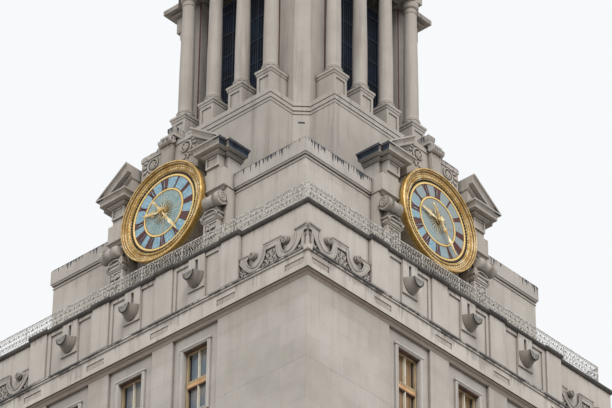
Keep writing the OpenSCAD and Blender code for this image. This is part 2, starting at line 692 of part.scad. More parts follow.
module dial_arbors() color(gold) on_sides() turned_out(0, dial_z, stage_d - stage_t) {
  cylinder(h = arbor_end - stage_d + stage_t + 6, r = arbor_r, $fn = 48);
  translate([0, 0, arbor_end - stage_d + stage_t]) cylinder(h = 6, r = arbor_r + 5, $fn = 48);
  translate([0, 0, -6]) cylinder(h = 6, r = arbor_r + 5, $fn = 48);
}

module hand(turn, len, tail, hub_r, d)
  turned_out(0, dial_z, d) rotate([0, 0, -360 * turn]) difference() {
    union() {
      cylinder(h = hand_t, r = hub_r, $fn = 48);
      linear_extrude(hand_t) for (s = [-1, 1]) mirror([s < 0 ? 1 : 0, 0, 0])
        polygon([[-1, -tail], [5, -tail], [3, -tail * 0.5], [5, 0], [3, len * 0.24], [6, len * 0.32],
          [3, len * 0.4], [8, len * 0.56], [7, len * 0.66], [3, len * 0.76], [5, len * 0.82], [0, len],
          [-1, len * 0.96]]);
    }
    translate([0, 0, -1]) cylinder(h = hand_t + 2, r = arbor_r + run_gap, $fn = 48);
  }

module hour_hand(k) color(gold) on_side(k) hand(rest_hour / 12, hour_len, 20, 16, hour_d);
module minute_hand(k) color(gold) on_side(k) hand(rest_minute / 60, minute_len, minute_tail, 14, minute_d);

module front_hour_hand() hour_hand(0);
module front_minute_hand() minute_hand(0);
module right_hour_hand() hour_hand(1);
module right_minute_hand() minute_hand(1);
module back_hour_hand() hour_hand(2);
module back_minute_hand() minute_hand(2);
module left_hour_hand() hour_hand(3);
module left_minute_hand() minute_hand(3);

base_t = 50;
mould_out = 6;
base_in = mould_out + base_t;
module belfry_base() color(stone) translate([0, 0, roof_z]) difference() {
  linear_extrude(base_h) polygon(cross_plan(arm_w - mould_out, arm_reach - mould_out, cant_d - mould_out));
  translate([0, 0, -1]) linear_extrude(base_h + 2)
    polygon(cross_plan(arm_w - base_in, arm_reach - base_in, cant_d - base_in));
}

module belfry_floor() color(stone) translate([0, 0, roof_z + base_h])
  for (step = [[4, 0, 0.24], [1, 0.24, 0.5], [2.5, 0.5, 0.6], [0, 0.6, 0.92], [2, 0.92, 1]])
    translate([0, 0, step[1] * base_mould_h]) linear_extrude((step[2] - step[1]) * base_mould_h)
      polygon(cross_plan(arm_w - step[0], arm_reach - step[0], cant_d - step[0]));

col_xs = [-1.5 * col_pitch, -0.5 * col_pitch, 0.5 * col_pitch, 1.5 * col_pitch];
cap_h = 35;
ped_cap = [[0, 0], [3, 2], [3, 10], [7, 14], [7, 24], [4, 27], [-6, 35]];
module pedestals() color(stone) on_sides() for (x = col_xs) {
  back = abs(x) > col_pitch ? cant_d - mould_out + seam : col_d - ped_w / 2;
  face = col_d + ped_w / 2;
  cap_z = pedestal_top - cap_h;
  difference() {
    side_box(x, ped_w, back, face, floor_z, cap_z);
    side_box(x, ped_w - 26, face - 4, face + 1, floor_z + 22, cap_z - 14);
  }
  moulded_block(x - ped_w / 2, x + ped_w / 2, back, face, cap_z, ped_cap);
}

module columns() color(stone) on_sides() for (x = col_xs) translate([x, -col_d, pedestal_top])
  rotate_extrude($fn = fine)
    polygon(concat([[0, 0], [col_r + 6, 0], [col_r + 6, 6]], arc(col_r + 2, 11, 5, -60, 90, 4),
      [[col_r + 2, 18], [col_r + 3, 22], [col_r + 1, 26], [col_r, 32], [col_r, col_h * 0.35],
       [col_r - 4, col_h - 60], [col_r - 1, col_h - 58], [col_r - 1, col_h - 53], [col_r - 4, col_h - 51],
       [col_r - 4, col_h - 36]],
      arc(col_r - 4, col_h - 26, 8, -60, 10, 4),
      [[col_r + 5, col_h - 18], [col_r + 5, col_h], [0, col_h]]));

antae_in = 220;
antae_d = cant_d - mould_out;
module belfry_piers() color(stone) on_sides() translate([0, 0, floor_z]) linear_extrude(beam_z - floor_z)
  polygon([[arm_w - 5, -antae_d], [antae_d, -arm_w + 5], [antae_d, -antae_in], [cant_d - 60, -antae_in],
    [antae_in, -cant_d + 60], [antae_in, -antae_d]]);

// Glazed screens of bars and rails between the piers, with an open gap over their top rail
screen_d = cant_d - 50;
bar_t = 6;
light_h = 115;
screen_top = beam_z - 50;
rail_zs = concat([for (i = [0:6]) floor_z + i * light_h], [screen_top - bar_t]);
module belfry_screens() color(screen_blue) on_sides() {
  side_box(0, 2 * antae_in - seam, screen_d, screen_d + 2, floor_z, screen_top);
  for (i = [-3:3])
    side_box(i * (antae_in - 4) / 3, bar_t, screen_d, screen_d + bar_t, floor_z, screen_top);
  for (z = rail_zs) side_box(0, 2 * antae_in - seam, screen_d, screen_d + bar_t, z, z + bar_t);
}

beam_w = 60;
module entablature() color(stone) translate([0, 0, beam_z]) difference() {
  linear_extrude(beam_h) polygon(cross_plan(1.5 * col_pitch + 36, col_d + 36, cant_d));
  translate([0, 0, -1]) linear_extrude(beam_h + 2)
    polygon(cross_plan(1.5 * col_pitch - 36, col_d - 36, cant_d - 72));
}

module belfry_cornice() color(stone) translate([0, 0, top_z]) {
  linear_extrude(top_cornice_h * 0.4) polygon(cross_plan(1.5 * col_pitch + 54, col_d + 54, cant_d + 18));
  translate([0, 0, top_cornice_h * 0.4]) linear_extrude(top_cornice_h * 0.6)
    polygon(cross_plan(1.5 * col_pitch + 78, col_d + 78, cant_d + 42));
}

module belfry_roof() color(stone) translate([0, 0, eaves_z]) {
  side = 2 * (cant_d - 20);
  translate([-side / 2, -side / 2, 0]) cube([side, side, roof_h * 0.4]);
  translate([-side * 0.36, -side * 0.36, roof_h * 0.4]) cube([side * 0.72, side * 0.72, roof_h * 0.3]);
  translate([-side * 0.2, -side * 0.2, roof_h * 0.7]) cube([side * 0.4, side * 0.4, roof_h * 0.3]);
}

plinth();
shaft_front();
shaft_right();
shaft_back();
shaft_left();
top_storey_front();
top_storey_right();
top_storey_back();
top_storey_left();
storey_floors();
window_surrounds();
deck_slab();
cornice();
parapet_front();
parapet_right();
parapet_back();
parapet_left();
coping();
corner_scrolls();
water_spouts();
deck_fence();
stage_front();
stage_right();
stage_back();
stage_left();
stage_band();
stage_roof();
clock_piers();
consoles();
half_pediments();
attic_panels();
keystones();
bezels();
dials();
dial_arbors();
belfry_base();
belfry_floor();
pedestals();
columns();
belfry_piers();
belfry_screens();
entablature();
belfry_cornice();
belfry_roof();
front_hour_hand();
front_minute_hand();
right_hour_hand();
right_minute_hand();
back_hour_hand();
back_minute_hand();
left_hour_hand();
left_minute_hand();
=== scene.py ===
# Looks of the clock tower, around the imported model. Metres at 1:10, so 0.1 here is 1 m on the real tower.
# A piece is modelled on the front, which faces -Y, and copied to the other three sides.
import json
import math
import bpy
from mathutils import Matrix

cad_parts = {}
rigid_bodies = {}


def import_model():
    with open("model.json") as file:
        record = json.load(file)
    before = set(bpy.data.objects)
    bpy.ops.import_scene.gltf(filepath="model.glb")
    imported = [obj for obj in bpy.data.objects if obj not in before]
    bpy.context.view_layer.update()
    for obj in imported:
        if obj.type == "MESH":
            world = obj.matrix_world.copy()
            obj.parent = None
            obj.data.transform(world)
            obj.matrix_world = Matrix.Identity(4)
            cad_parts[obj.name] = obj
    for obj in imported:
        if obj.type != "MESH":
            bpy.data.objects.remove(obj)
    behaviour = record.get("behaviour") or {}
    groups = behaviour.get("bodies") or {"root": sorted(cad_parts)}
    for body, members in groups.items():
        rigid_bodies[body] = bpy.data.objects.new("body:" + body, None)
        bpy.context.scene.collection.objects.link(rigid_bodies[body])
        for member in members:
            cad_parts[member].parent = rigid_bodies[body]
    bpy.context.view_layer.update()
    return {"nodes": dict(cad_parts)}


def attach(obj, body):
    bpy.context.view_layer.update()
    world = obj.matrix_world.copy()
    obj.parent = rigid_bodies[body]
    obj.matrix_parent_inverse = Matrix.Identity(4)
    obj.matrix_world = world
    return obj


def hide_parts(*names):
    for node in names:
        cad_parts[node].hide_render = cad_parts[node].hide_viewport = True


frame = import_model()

# the photograph's camera, worked out from both faces of the tower
cameraLook = {
    "place": (7.826, -8.383, 0.07),
    "right": (0.73777, 0.67499, 0.00934),
    "up": (0.38317, -0.43012, 0.81742),
    "forward": (-0.55577, 0.59949, 0.57596),
    "lens": 202.4,
    "sensor": 36.0,
    "farthest": 200.0,
}

studio = {
    "floorSize": 60.0,
    "floorHex": "#e9e8e6",
    "floorRoughness": 0.9,
    "bounceHex": "#8f8b86",   # what the floor sends back up, as grass and paving would
    "skyHex": "#f2f4f6",
    "skyStrength": 1.0,
    "backdropStrength": 1.05,
    "keyPower": 1.95,
    "keyAngle": 38.0,
    "keyTurn": (48.0, 0.0, 52.0),
}


def linearPart(value):
    return value / 12.92 if value <= 0.04045 else ((value + 0.055) / 1.055) ** 2.4


def colourOf(hexText, alpha=1.0):
    parts = [int(hexText[i:i + 2], 16) / 255 for i in (1, 3, 5)]
    return tuple(linearPart(p) for p in parts) + (alpha,)


def setCamera():
    look = cameraLook
    data = bpy.data.cameras.new("photoCamera")
    data.lens = look["lens"]
    data.sensor_width = look["sensor"]
    data.clip_end = look["farthest"]
    camera = bpy.data.objects.new("photoCamera", data)
    bpy.context.collection.objects.link(camera)
    right, up, forward = look["right"], look["up"], look["forward"]
    rows = [(right[i], up[i], -forward[i], look["place"][i]) for i in range(3)]
    camera.matrix_world = Matrix(rows + [(0, 0, 0, 1)])
    bpy.context.scene.camera = camera


def setInputs(tree, node, inputs):
    for key, value in inputs.items():
        if isinstance(value, bpy.types.NodeSocket):
            tree.links.new(value, node.inputs[key])
        else:
            node.inputs[key].default_value = value


def addNode(tree, kind, inputs=None, **settings):
    node = tree.nodes.new(kind)
    for key, value in settings.items():
        setattr(node, key, value)
    setInputs(tree, node, inputs or {})
    return node


def calculate(tree, operation, *values):
    return addNode(tree, "ShaderNodeMath", dict(enumerate(values)), operation=operation).outputs[0]


# 1 where the eye or a reflection meets the surface, 0 where it only lights the tower
def isSeen(tree):
    path = addNode(tree, "ShaderNodeLightPath").outputs
    seen = calculate(tree, "MAXIMUM", path["Is Camera Ray"], path["Is Glossy Ray"])
    return calculate(tree, "MAXIMUM", seen, path["Is Transmission Ray"])


def setStudio():
    bpy.context.scene.view_settings.view_transform = "Standard"
    world = bpy.data.worlds.new("paleSky")
    bpy.context.scene.world = world
    world.use_nodes = True
    tree = world.node_tree
    level = addNode(tree, "ShaderNodeMix", {"Factor": isSeen(tree), "A": studio["skyStrength"],
                                            "B": studio["backdropStrength"]})
    setInputs(tree, tree.nodes["Background"], {"Color": colourOf(studio["skyHex"]),
                                               "Strength": level.outputs["Result"]})
    sun = bpy.data.lights.new("softKey", "SUN")
    sun.energy = studio["keyPower"]
    sun.angle = math.radians(studio["keyAngle"])
    key = bpy.data.objects.new("softKey", sun)
    key.rotation_euler = [math.radians(a) for a in studio["keyTurn"]]
    bpy.context.collection.objects.link(key)
    clearSelection()
    bpy.ops.mesh.primitive_plane_add(size=studio["floorSize"], location=(0, 0, 0))
    floor = bpy.context.object
    floor.name = "studioFloor"
    paper = bpy.data.materials.new("palePaper")
    paper.use_nodes = True
    tree = paper.node_tree
    colour = addNode(tree, "ShaderNodeMix", {"Factor": isSeen(tree), "A": colourOf(studio["bounceHex"]),
                                             "B": colourOf(studio["floorHex"])}, data_type="RGBA")
    setInputs(tree, tree.nodes["Principled BSDF"], {"Base Color": colour.outputs["Result"],
                                                    "Roughness": studio["floorRoughness"]})
    floor.data.materials.append(paper)


# how pieces are made
sideNames = ("front", "right", "back", "left")


def clearSelection():
    if bpy.context.mode != "OBJECT":
        bpy.ops.object.mode_set(mode="OBJECT")
    bpy.ops.object.select_all(action="DESELECT")


def pickOnly(*pieces):
    clearSelection()
    for piece in pieces:
        piece.select_set(True)
    bpy.context.view_layer.objects.active = pieces[0]


def applyPlace(piece):
    pickOnly(piece)
    bpy.ops.object.transform_apply(location=True, rotation=True, scale=True)


def openEdit():
    bpy.ops.object.mode_set(mode="EDIT")
    bpy.ops.mesh.select_all(action="SELECT")


def closeEdit():
    bpy.ops.object.mode_set(mode="OBJECT")


def joinPieces(pieces):
    pickOnly(*pieces)
    if len(pieces) > 1:
        bpy.ops.object.join()
    return bpy.context.object


# a block on the front between two corners given as (x, distance from the axis, z), with its edges cut
def addBlock(low, high, edge):
    clearSelection()
    x, d, z = [(a + b) / 2 for a, b in zip(low, high)]
    bpy.ops.mesh.primitive_cube_add(size=1, location=(x, -d, z))
    block = bpy.context.object
    block.scale = [b - a for a, b in zip(low, high)]
    applyPlace(block)
    openEdit()
    bpy.ops.mesh.bevel(offset=edge, segments=1)
    closeEdit()
    return block


# a flat ring round an upright rectangle: a plane inset, opened and extruded
def addFrame(x0, x1, z0, z1, width, d0, d1, edge):
    clearSelection()
    bpy.ops.mesh.primitive_plane_add(size=1, location=((x0 + x1) / 2, -d0, (z0 + z1) / 2),
                                     rotation=(math.pi / 2, 0, 0))
    ring = bpy.context.object
    ring.scale = (x1 - x0, z1 - z0, 1)
    applyPlace(ring)
    openEdit()
    bpy.ops.mesh.inset(thickness=width)
    bpy.ops.mesh.delete(type="FACE")
    bpy.ops.mesh.select_all(action="SELECT")
    bpy.ops.mesh.extrude_region_move(TRANSFORM_OT_translate={"value": (0, d0 - d1, 0)})
    bpy.ops.mesh.select_all(action="SELECT")
    bpy.ops.mesh.normals_make_consistent(inside=False)
    bpy.ops.mesh.bevel(offset=edge, segments=1)
    closeEdit()
    return ring


# a cylinder that points out of the front, between two distances from the axis
def addCylinder(x, z, radius, d0, d1, sides):
    clearSelection()
    bpy.ops.mesh.primitive_cylinder_add(vertices=sides, radius=radius, depth=d1 - d0,
                                        location=(x, -(d0 + d1) / 2, z), rotation=(math.pi / 2, 0, 0))
    cylinder = bpy.context.object
    applyPlace(cylinder)
    return cylinder


# a small ball, stretched by three shares
def addBall(x, d, z, radius, shares, turn=(0, 0, 0), detail=1, smooth=True):
    clearSelection()
    bpy.ops.mesh.primitive_ico_sphere_add(subdivisions=detail, radius=radius, location=(x, -d, z),
                                          rotation=turn)
    ball = bpy.context.object
    ball.scale = shares
    applyPlace(ball)
    if smooth:
        bpy.ops.object.shade_smooth()
    return ball


# a line of points made into a mesh, with a share of its radius at each
def meshOfLine(points, shares, closed, **settings):
    data = bpy.data.curves.new("line", "CURVE")
    for key, value in settings.items():
        setattr(data, key, value)
    line = data.splines.new("POLY")
    line.points.add(len(points) - 1)
    for i, point in enumerate(points):
        line.points[i].co = (*point, 1)
        line.points[i].radius = shares[i] if shares else 1.0
    line.use_cyclic_u = closed
    made = bpy.data.objects.new("line", data)
    bpy.context.collection.objects.link(made)
    pickOnly(made)
    bpy.ops.object.convert(target="MESH")
    return bpy.context.object


# a rod along points given as (x, distance, z)
def addRod(points, radius, shares=None, closed=False, rings=1):
    return meshOfLine([(x, -d, z) for x, d, z in points], shares, closed, dimensions="3D", bevel_depth=radius,
                      bevel_resolution=rings, use_fill_caps=True)


# a flat outline in (x, z), filled and given a depth from d0 out to d1 with a chamfer
def addPlate(outline, d0, d1, edge):
    plate = meshOfLine([(x, z, 0) for x, z in outline], None, True, dimensions="2D", fill_mode="BOTH",
                       extrude=(d1 - d0) / 2 - edge, bevel_depth=edge, bevel_resolution=0, offset=-edge)
    plate.rotation_euler = (math.pi / 2, 0, 0)
    plate.location = (0, -(d0 + d1) / 2, 0)
    applyPlace(plate)
    return plate


# points on an arc round (x, z), at angles in degrees from +X, with another radius upward where it is an oval
def arcPoints(x, z, d, radius, angles, upward=None):
    return [(x + radius * math.cos(math.radians(t)), d, z + (upward or radius) * math.sin(math.radians(t)))
            for t in angles]


def copyOf(piece, matrix):
    copy = piece.copy()
    copy.data = piece.data.copy()
    copy.data.transform(matrix)
    bpy.context.collection.objects.link(copy)
    return copy


def repeatPiece(piece, count, step):
    pickOnly(piece)
    row = piece.modifiers.new("row", "ARRAY")
    row.use_relative_offset = False
    row.use_constant_offset = True
    row.constant_offset_displace = step
    row.count = count
    bpy.ops.object.modifier_apply(modifier="row")
    return piece


# copies turned about the dial's middle on the front
def ringOf(piece, count):
    copies = [piece]
    for i in range(1, count):
        copies.append(copyOf(piece, aboutDial(i / count)))
    return joinPieces(copies)


def aboutDial(turn):
    middle = Matrix.Translation((0, 0, dialZ))
    return middle @ Matrix.Rotation(2 * math.pi * turn, 4, "Y") @ middle.inverted()


def mirrored(piece):
    copy = copyOf(piece, Matrix.Scale(-1, 4, (1, 0, 0)))
    pickOnly(copy)
    openEdit()
    bpy.ops.mesh.flip_normals()
    closeEdit()
    return copy


def finishPiece(piece, name, material, body="tower"):
    piece.name = name
    piece.data.name = name
    piece.data.materials.clear()
    piece.data.materials.append(material)
    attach(piece, body)


def finishOnSides(piece, name, material):
    for k, side in enumerate(sideNames):
        turned = copyOf(piece, Matrix.Rotation(math.pi / 2 * k, 4, "Z"))
        finishPiece(turned, side + "_" + name, material)
    bpy.data.objects.remove(piece)
    print("made", name)


# levels and places that the pieces share, as the part's source has them
seat = 0.001           # how far an added piece is let into what carries it
stripD = 0.883         # face of the sunk strips in the shaft walls
headZ = 6.886          # top of the highest windows
storeyH = 0.425
windowRows = 16
windowW = 0.122
windowH = 0.275
windowPitch = 0.336
fenceZ = 7.301
fenceD = 0.8535
dialZ = 7.714
dialD = 0.752          # face of the dials
sillZ = 7.06
rightFaceFrom = 0.7    # what lies further along X than this belongs to the right face


# finishes
def newFinish(name):
    made = bpy.data.materials.new(name)
    made.use_nodes = True
    return made, made.node_tree, addNode(made.node_tree, "ShaderNodeTexCoord").outputs


def partsOf(tree, vector):
    return addNode(tree, "ShaderNodeSeparateXYZ", {"Vector": vector}).outputs


def distanceFrom(tree, value, middle):
    return calculate(tree, "ABSOLUTE", calculate(tree, "SUBTRACT", value, middle))


# a value that goes from least to most as another goes from start to end
def rampOf(tree, value, start, end, most=1.0, least=0.0):
    return addNode(tree, "ShaderNodeMapRange", {"Value": value, "From Min": start, "From Max": end,
                                                "To Min": least, "To Max": most}).outputs["Result"]


# one colour laid over another, either of them given as a hex text or as a socket
def blendOf(tree, share, under, over, **settings):
    under, over = [colourOf(c) if isinstance(c, str) else c for c in (under, over)]
    return addNode(tree, "ShaderNodeMix", {"Factor": share, "A": under, "B": over}, data_type="RGBA",
                   **settings).outputs["Result"]


# a colour laid over another as a value goes from start to end, up to a share
def layOver(tree, colour, value, start, end, share, over):
    return blendOf(tree, rampOf(tree, value, start, end, share), colour, over)


def noiseOf(tree, coords, scale, detail, roughness=0.5, stretch=None):
    place = coords["Object"]
    if stretch:
        place = addNode(tree, "ShaderNodeMapping", {"Vector": place, "Scale": stretch}).outputs["Vector"]
    return addNode(tree, "ShaderNodeTexNoise", {"Vector": place, "Scale": scale, "Detail": detail,
                                                "Roughness": roughness}).outputs["Fac"]


# where a point lies on the nearest face: its distance from the tower's axis, from the middle of that face,
# above the middle of the dial, and from the middle of the dial
def placeOnFace(tree, place):
    across, deep = [calculate(tree, "ABSOLUTE", place[axis]) for axis in ("X", "Y")]
    aside = calculate(tree, "MINIMUM", across, deep)
    rise = calculate(tree, "SUBTRACT", place["Z"], dialZ)
    spot = addNode(tree, "ShaderNodeCombineXYZ", {"X": aside, "Y": rise}).outputs["Vector"]
    radius = addNode(tree, "ShaderNodeVectorMath", {0: spot}, operation="LENGTH").outputs["Value"]
    return calculate(tree, "MAXIMUM", across, deep), aside, rise, radius


# only the right face shows blinds and a sooty dial
def isOnRight(tree, place):
    return calculate(tree, "GREATER_THAN", place["X"], rightFaceFrom)


# painted shade in the angles between mouldings, darker where the ambient-occlusion node finds a place closed
# in: how far it reaches, how open a place is where it starts and is full
def paintHollowShade(tree, colour, reach, start, full, share, dirtAndShadeHex):
    hollow = addNode(tree, "ShaderNodeAmbientOcclusion", {"Distance": reach}, samples=6)
    return layOver(tree, colour, hollow.outputs["AO"], start, full, share, dirtAndShadeHex)


def closeFinish(made, colour, roughness, metallic=0.0, height=None, strength=0.3, depth=0.0):
    tree = made.node_tree
    values = {"Base Color": colour, "Roughness": roughness, "Metallic": metallic}
    if height:
        bump = addNode(tree, "ShaderNodeBump", {"Height": height, "Strength": strength, "Distance": depth})
        values["Normal"] = bump.outputs["Normal"]
    setInputs(tree, tree.nodes["Principled BSDF"], values)
    return made


# Limestone ashlar, sawn and long weathered: matt, in pale blocks of slightly different tones with tight
# joints, brown-black runs under the ledges, a dark crust on what faces up, and painted shade in the angles.
stoneLook = {
    "blockW": 0.13,
    "blockH": 0.087,
    "jointW": 0.0011,
    "toneSpread": 0.05,
    "mortar": (0.91, 0.9, 0.89, 1),
    "patchScale": 5.0,     # 200 mm patches of tone, 2 m on the real tower
    "patchRange": (0.36, 0.64),
    "grainScale": 160.0,   # 6 mm grain, coarser than the real stone so that it shows
    "grainDepth": 0.0015,
    "grainStrength": 0.35,
    "runScale": 34.0,      # runs about 30 mm apart
    "runRange": (0.5, 0.72),
    "runFoot": -0.35,      # how thin a run is at its foot
    "gapSwing": 0.8,     # how far a run's length can vary
    "needleScale": 110.0,  # drips about 9 mm apart
    "gapScale": 9.0,       # how often a run is longer or shorter
    "roughness": 0.88,
    "crustHex": "#2b323c",
    "crustRange": (0.35, 0.8),       # how far a face must look up to carry the crust
    "hollowDepth": 0.028,            # painted shade reaches this deep into the angles between mouldings
    "hollowRange": (0.82, 0.3),
    "hollowHex": "#4b3f36",
    "creaseDepth": 0.009,            # and is darkest within this distance of an angle
    "creaseRange": (0.74, 0.36),
    "creaseHex": "#352d28",
    "endZ": (7.856, 7.876),   # the pediments' crusted ends: where the crust starts and is full
    "endReach": (0.08, 0.42),
    "endAside": 0.3,
    "endRange": (0.35, 0.62),
    "endHex": ("#141c29", "#353f4d"),
    "lineSoft": 0.6,
}


# courses of blocks with tight joints: their colour, and 1 where a joint stands back from the face
def layBlocks(tree, place, colour):
    look = stoneLook
    dull, light = 1 - look["toneSpread"], 1 + look["toneSpread"]
    flat = addNode(tree, "ShaderNodeCombineXYZ", {"X": calculate(tree, "ADD", place["X"], place["Y"]),
                                                  "Y": place["Z"]})
    wall = addNode(tree, "ShaderNodeTexBrick", {
        "Vector": flat.outputs["Vector"], "Scale": 1.0, "Brick Width": look["blockW"],
        "Row Height": look["blockH"], "Mortar Size": look["jointW"], "Mortar Smooth": 0.3,
        "Color1": (dull, dull, 1 - look["toneSpread"] * 1.2, 1), "Color2": (light, light, light, 1),
        "Mortar": look["mortar"]}).outputs
    return blendOf(tree, 1.0, colour, wall["Color"], blend_type="MULTIPLY"), wall["Fac"]


# dirt that water has run down from a ledge
def layRun(tree, place, colour, run, drips):
    look = stoneLook
    drip, needle, broken = drips
    top, drop, strength, runHex, soft, gaps, streak = run
    fade = rampOf(tree, place["Z"], top - drop, top, streak or 0.4, look["runFoot"])
    swing = look["gapSwing"] * gaps
    uneven = calculate(tree, "MULTIPLY_ADD", broken, 2 * swing, -swing)
    mask = calculate(tree, "ADD", calculate(tree, "ADD", fade, needle if streak else drip), uneven)
    under = calculate(tree, "LESS_THAN", place["Z"], top + 0.001)
    share = rampOf(tree, mask, 0.5, 0.5 + soft, calculate(tree, "MULTIPLY", under, strength))
    return blendOf(tree, share, colour, runHex)


# the ends of a cornice, which face along the wall at the far side of its supports
def crustEnds(tree, coords, place, facing, colour, drip, strength):
    look = stoneLook
    outward = addNode(tree, "ShaderNodeVectorMath", {0: coords["Object"], 1: coords["Normal"]},
                      operation="DOT_PRODUCT").outputs["Value"]
    reach = calculate(tree, "SUBTRACT", outward, calculate(tree, "MULTIPLY", place["Z"], facing["Z"]))
    share = rampOf(tree, place["Z"], *look["endZ"], strength)
    for value, operation, limit in ((reach, "GREATER_THAN", look["endReach"][0]),
                                    (reach, "LESS_THAN", look["endReach"][1]),
                                    (placeOnFace(tree, place)[1], "GREATER_THAN", look["endAside"])):
        share = calculate(tree, "MULTIPLY", share, calculate(tree, operation, value, limit))
    return blendOf(tree, share, colour, blendOf(tree, rampOf(tree, drip, *look["endRange"]), *look["endHex"]))


def makeStone(name, mainHex, paleHex, dirtAndShadeHex, blocks=False, runs=(), topDirt=0.7, dirtShare=0.3,
              sideDirt=0.0, hollowShade=0.8, creaseShade=0.8, lines=()):
    look = stoneLook
    made, tree, coords = newFinish(name)
    place = partsOf(tree, coords["Object"])
    facing = partsOf(tree, coords["Normal"])
    patch = noiseOf(tree, coords, look["patchScale"], 5.0, 0.6)
    grain = noiseOf(tree, coords, look["grainScale"], 3.0)
    drip = noiseOf(tree, coords, look["runScale"], 4.0, 0.65, (1, 1, 0.06))
    needle = noiseOf(tree, coords, look["needleScale"], 2.0, stretch=(1, 1, 0.02))
    broken = noiseOf(tree, coords, look["gapScale"], 3.0)
    colour = blendOf(tree, rampOf(tree, patch, *look["patchRange"]), mainHex, paleHex)
    height = grain
    if blocks:
        colour, joints = layBlocks(tree, place, colour)
        height = calculate(tree, "SUBTRACT", grain, joints)
    for run in runs:
        colour = layRun(tree, place, colour, run, (drip, needle, broken))
    for middle, half, share, lineShadeHex in lines:   # even lines of painted shade along a moulding
        off = distanceFrom(tree, place["Z"], middle)
        colour = layOver(tree, colour, off, half, half * look["lineSoft"], share, lineShadeHex)
    colour = layOver(tree, colour, drip, *look["runRange"], dirtShare, dirtAndShadeHex)
    colour = layOver(tree, colour, facing["Z"], *look["crustRange"], topDirt, look["crustHex"])
    if sideDirt:
        colour = crustEnds(tree, coords, place, facing, colour, drip, sideDirt)
    # painted shade in the hollows and the creases between mouldings
    for kind, dirtAndShade in (("hollow", hollowShade), ("crease", creaseShade)):
        start, full = look[kind + "Range"]
        colour = paintHollowShade(tree, colour, look[kind + "Depth"], start, full, dirtAndShade, look[kind + "Hex"])
    return closeFinish(made, colour, look["roughness"], 0.0, height, look["grainStrength"],
                       look["grainDepth"])


# Leaf-gilt bronze: a warm metal sheen where the gilding is whole, matt brown-black dirt in patches, and
# painted shade in the hollows.
giltLook = {
    "goldHex": "#eebf62", "highlightHex": "#fff6d4", "dullHex": "#cfa65e", "dirtAndShadeHex": "#553b1e",
    "drum": ((0.757, 0.747, "#c9a86c"), (0.7445, 0.7405, "#ada396")),   # from, to and colour, going back
    "patchScale": 26.0, "patchRange": (0.4, 0.62), "metallic": 0.38, "roughness": (0.3, 0.75),
    "chaseScale": 150.0,   # 7 mm chasing, coarser than the real leafwork so that it shows
    "chaseRange": (0.5, 0.38, 0.42), "chaseHex": "#6d4a20", "shadeRingHex": "#432b12", "ringShare": 0.9,
    # painted shade in the gilding's hollows, and rings of painted shade between its mouldings
    "hollowDepth": 0.01, "hollowRange": (0.75, 0.3), "hollowShare": 0.85,
    "shadeRings": ((0.2108, 0.0014), (0.2045, 0.0026), (0.1965, 0.0016), (0.188, 0.0016)),
}


def makeGilt(name, dirtShare, bright):
    look = giltLook
    made, tree, coords = newFinish(name)
    patch = noiseOf(tree, coords, look["patchScale"], 6.0, 0.7)
    # the highlit copy is blended in patches towards a near-white cream: painted highlight
    colour = blendOf(tree, rampOf(tree, patch, *look["patchRange"]), look["goldHex"],
                     look["highlightHex"] if bright else look["dullHex"])
    dirtAndShade = rampOf(tree, patch, 0.5 + 0.15 * (1 - dirtShare), 0.42, dirtShare)
    colour = blendOf(tree, dirtAndShade, colour, look["dirtAndShadeHex"])
    if not bright:   # the drum's side greys towards the wall, and painted shade lies in rings in the hollows of its moulded front
        depth, _, _, radius = placeOnFace(tree, partsOf(tree, coords["Object"]))
        for start, end, drumHex in look["drum"]:
            colour = layOver(tree, colour, depth, start, end, look["ringShare"], drumHex)
        chased = noiseOf(tree, coords, look["chaseScale"], 2.0)
        colour = layOver(tree, colour, chased, *look["chaseRange"], look["chaseHex"])
        for middle, half in look["shadeRings"]:
            off = distanceFrom(tree, radius, middle)
            colour = layOver(tree, colour, off, half, half * 0.4, look["ringShare"], look["shadeRingHex"])
    colour = paintHollowShade(tree, colour, look["hollowDepth"], *look["hollowRange"], look["hollowShare"],
                         look["dirtAndShadeHex"])
    smooth, rough = look["roughness"]
    return closeFinish(made, colour, rampOf(tree, dirtAndShade, 0.0, 1.0, rough, smooth), look["metallic"],
                       patch, 0.3, 0.002)


# Glass mosaic set in cement: pale blue tesserae of uneven tone, the inner disc greyer and greener.
mosaicLook = {
    "tessera": 0.006, "cloudScale": 22.0, "filmHex": "#8f9694", "roughness": 0.42,
    "bandHex": ("#6d94a6", "#97b6c2"), "discHex": ("#768d8c", "#97aaa8"), "discR": 0.1,
    "goldHex": "#f3d48c", "goldRings": ((0.162, 0.0042), (0.102, 0.0033)),   # radius, half width
    "edgeW": 0.0028, "edgeShadeHex": "#73501f", "grooveR": 0.1665, "grooveHex": "#6a5234",
}


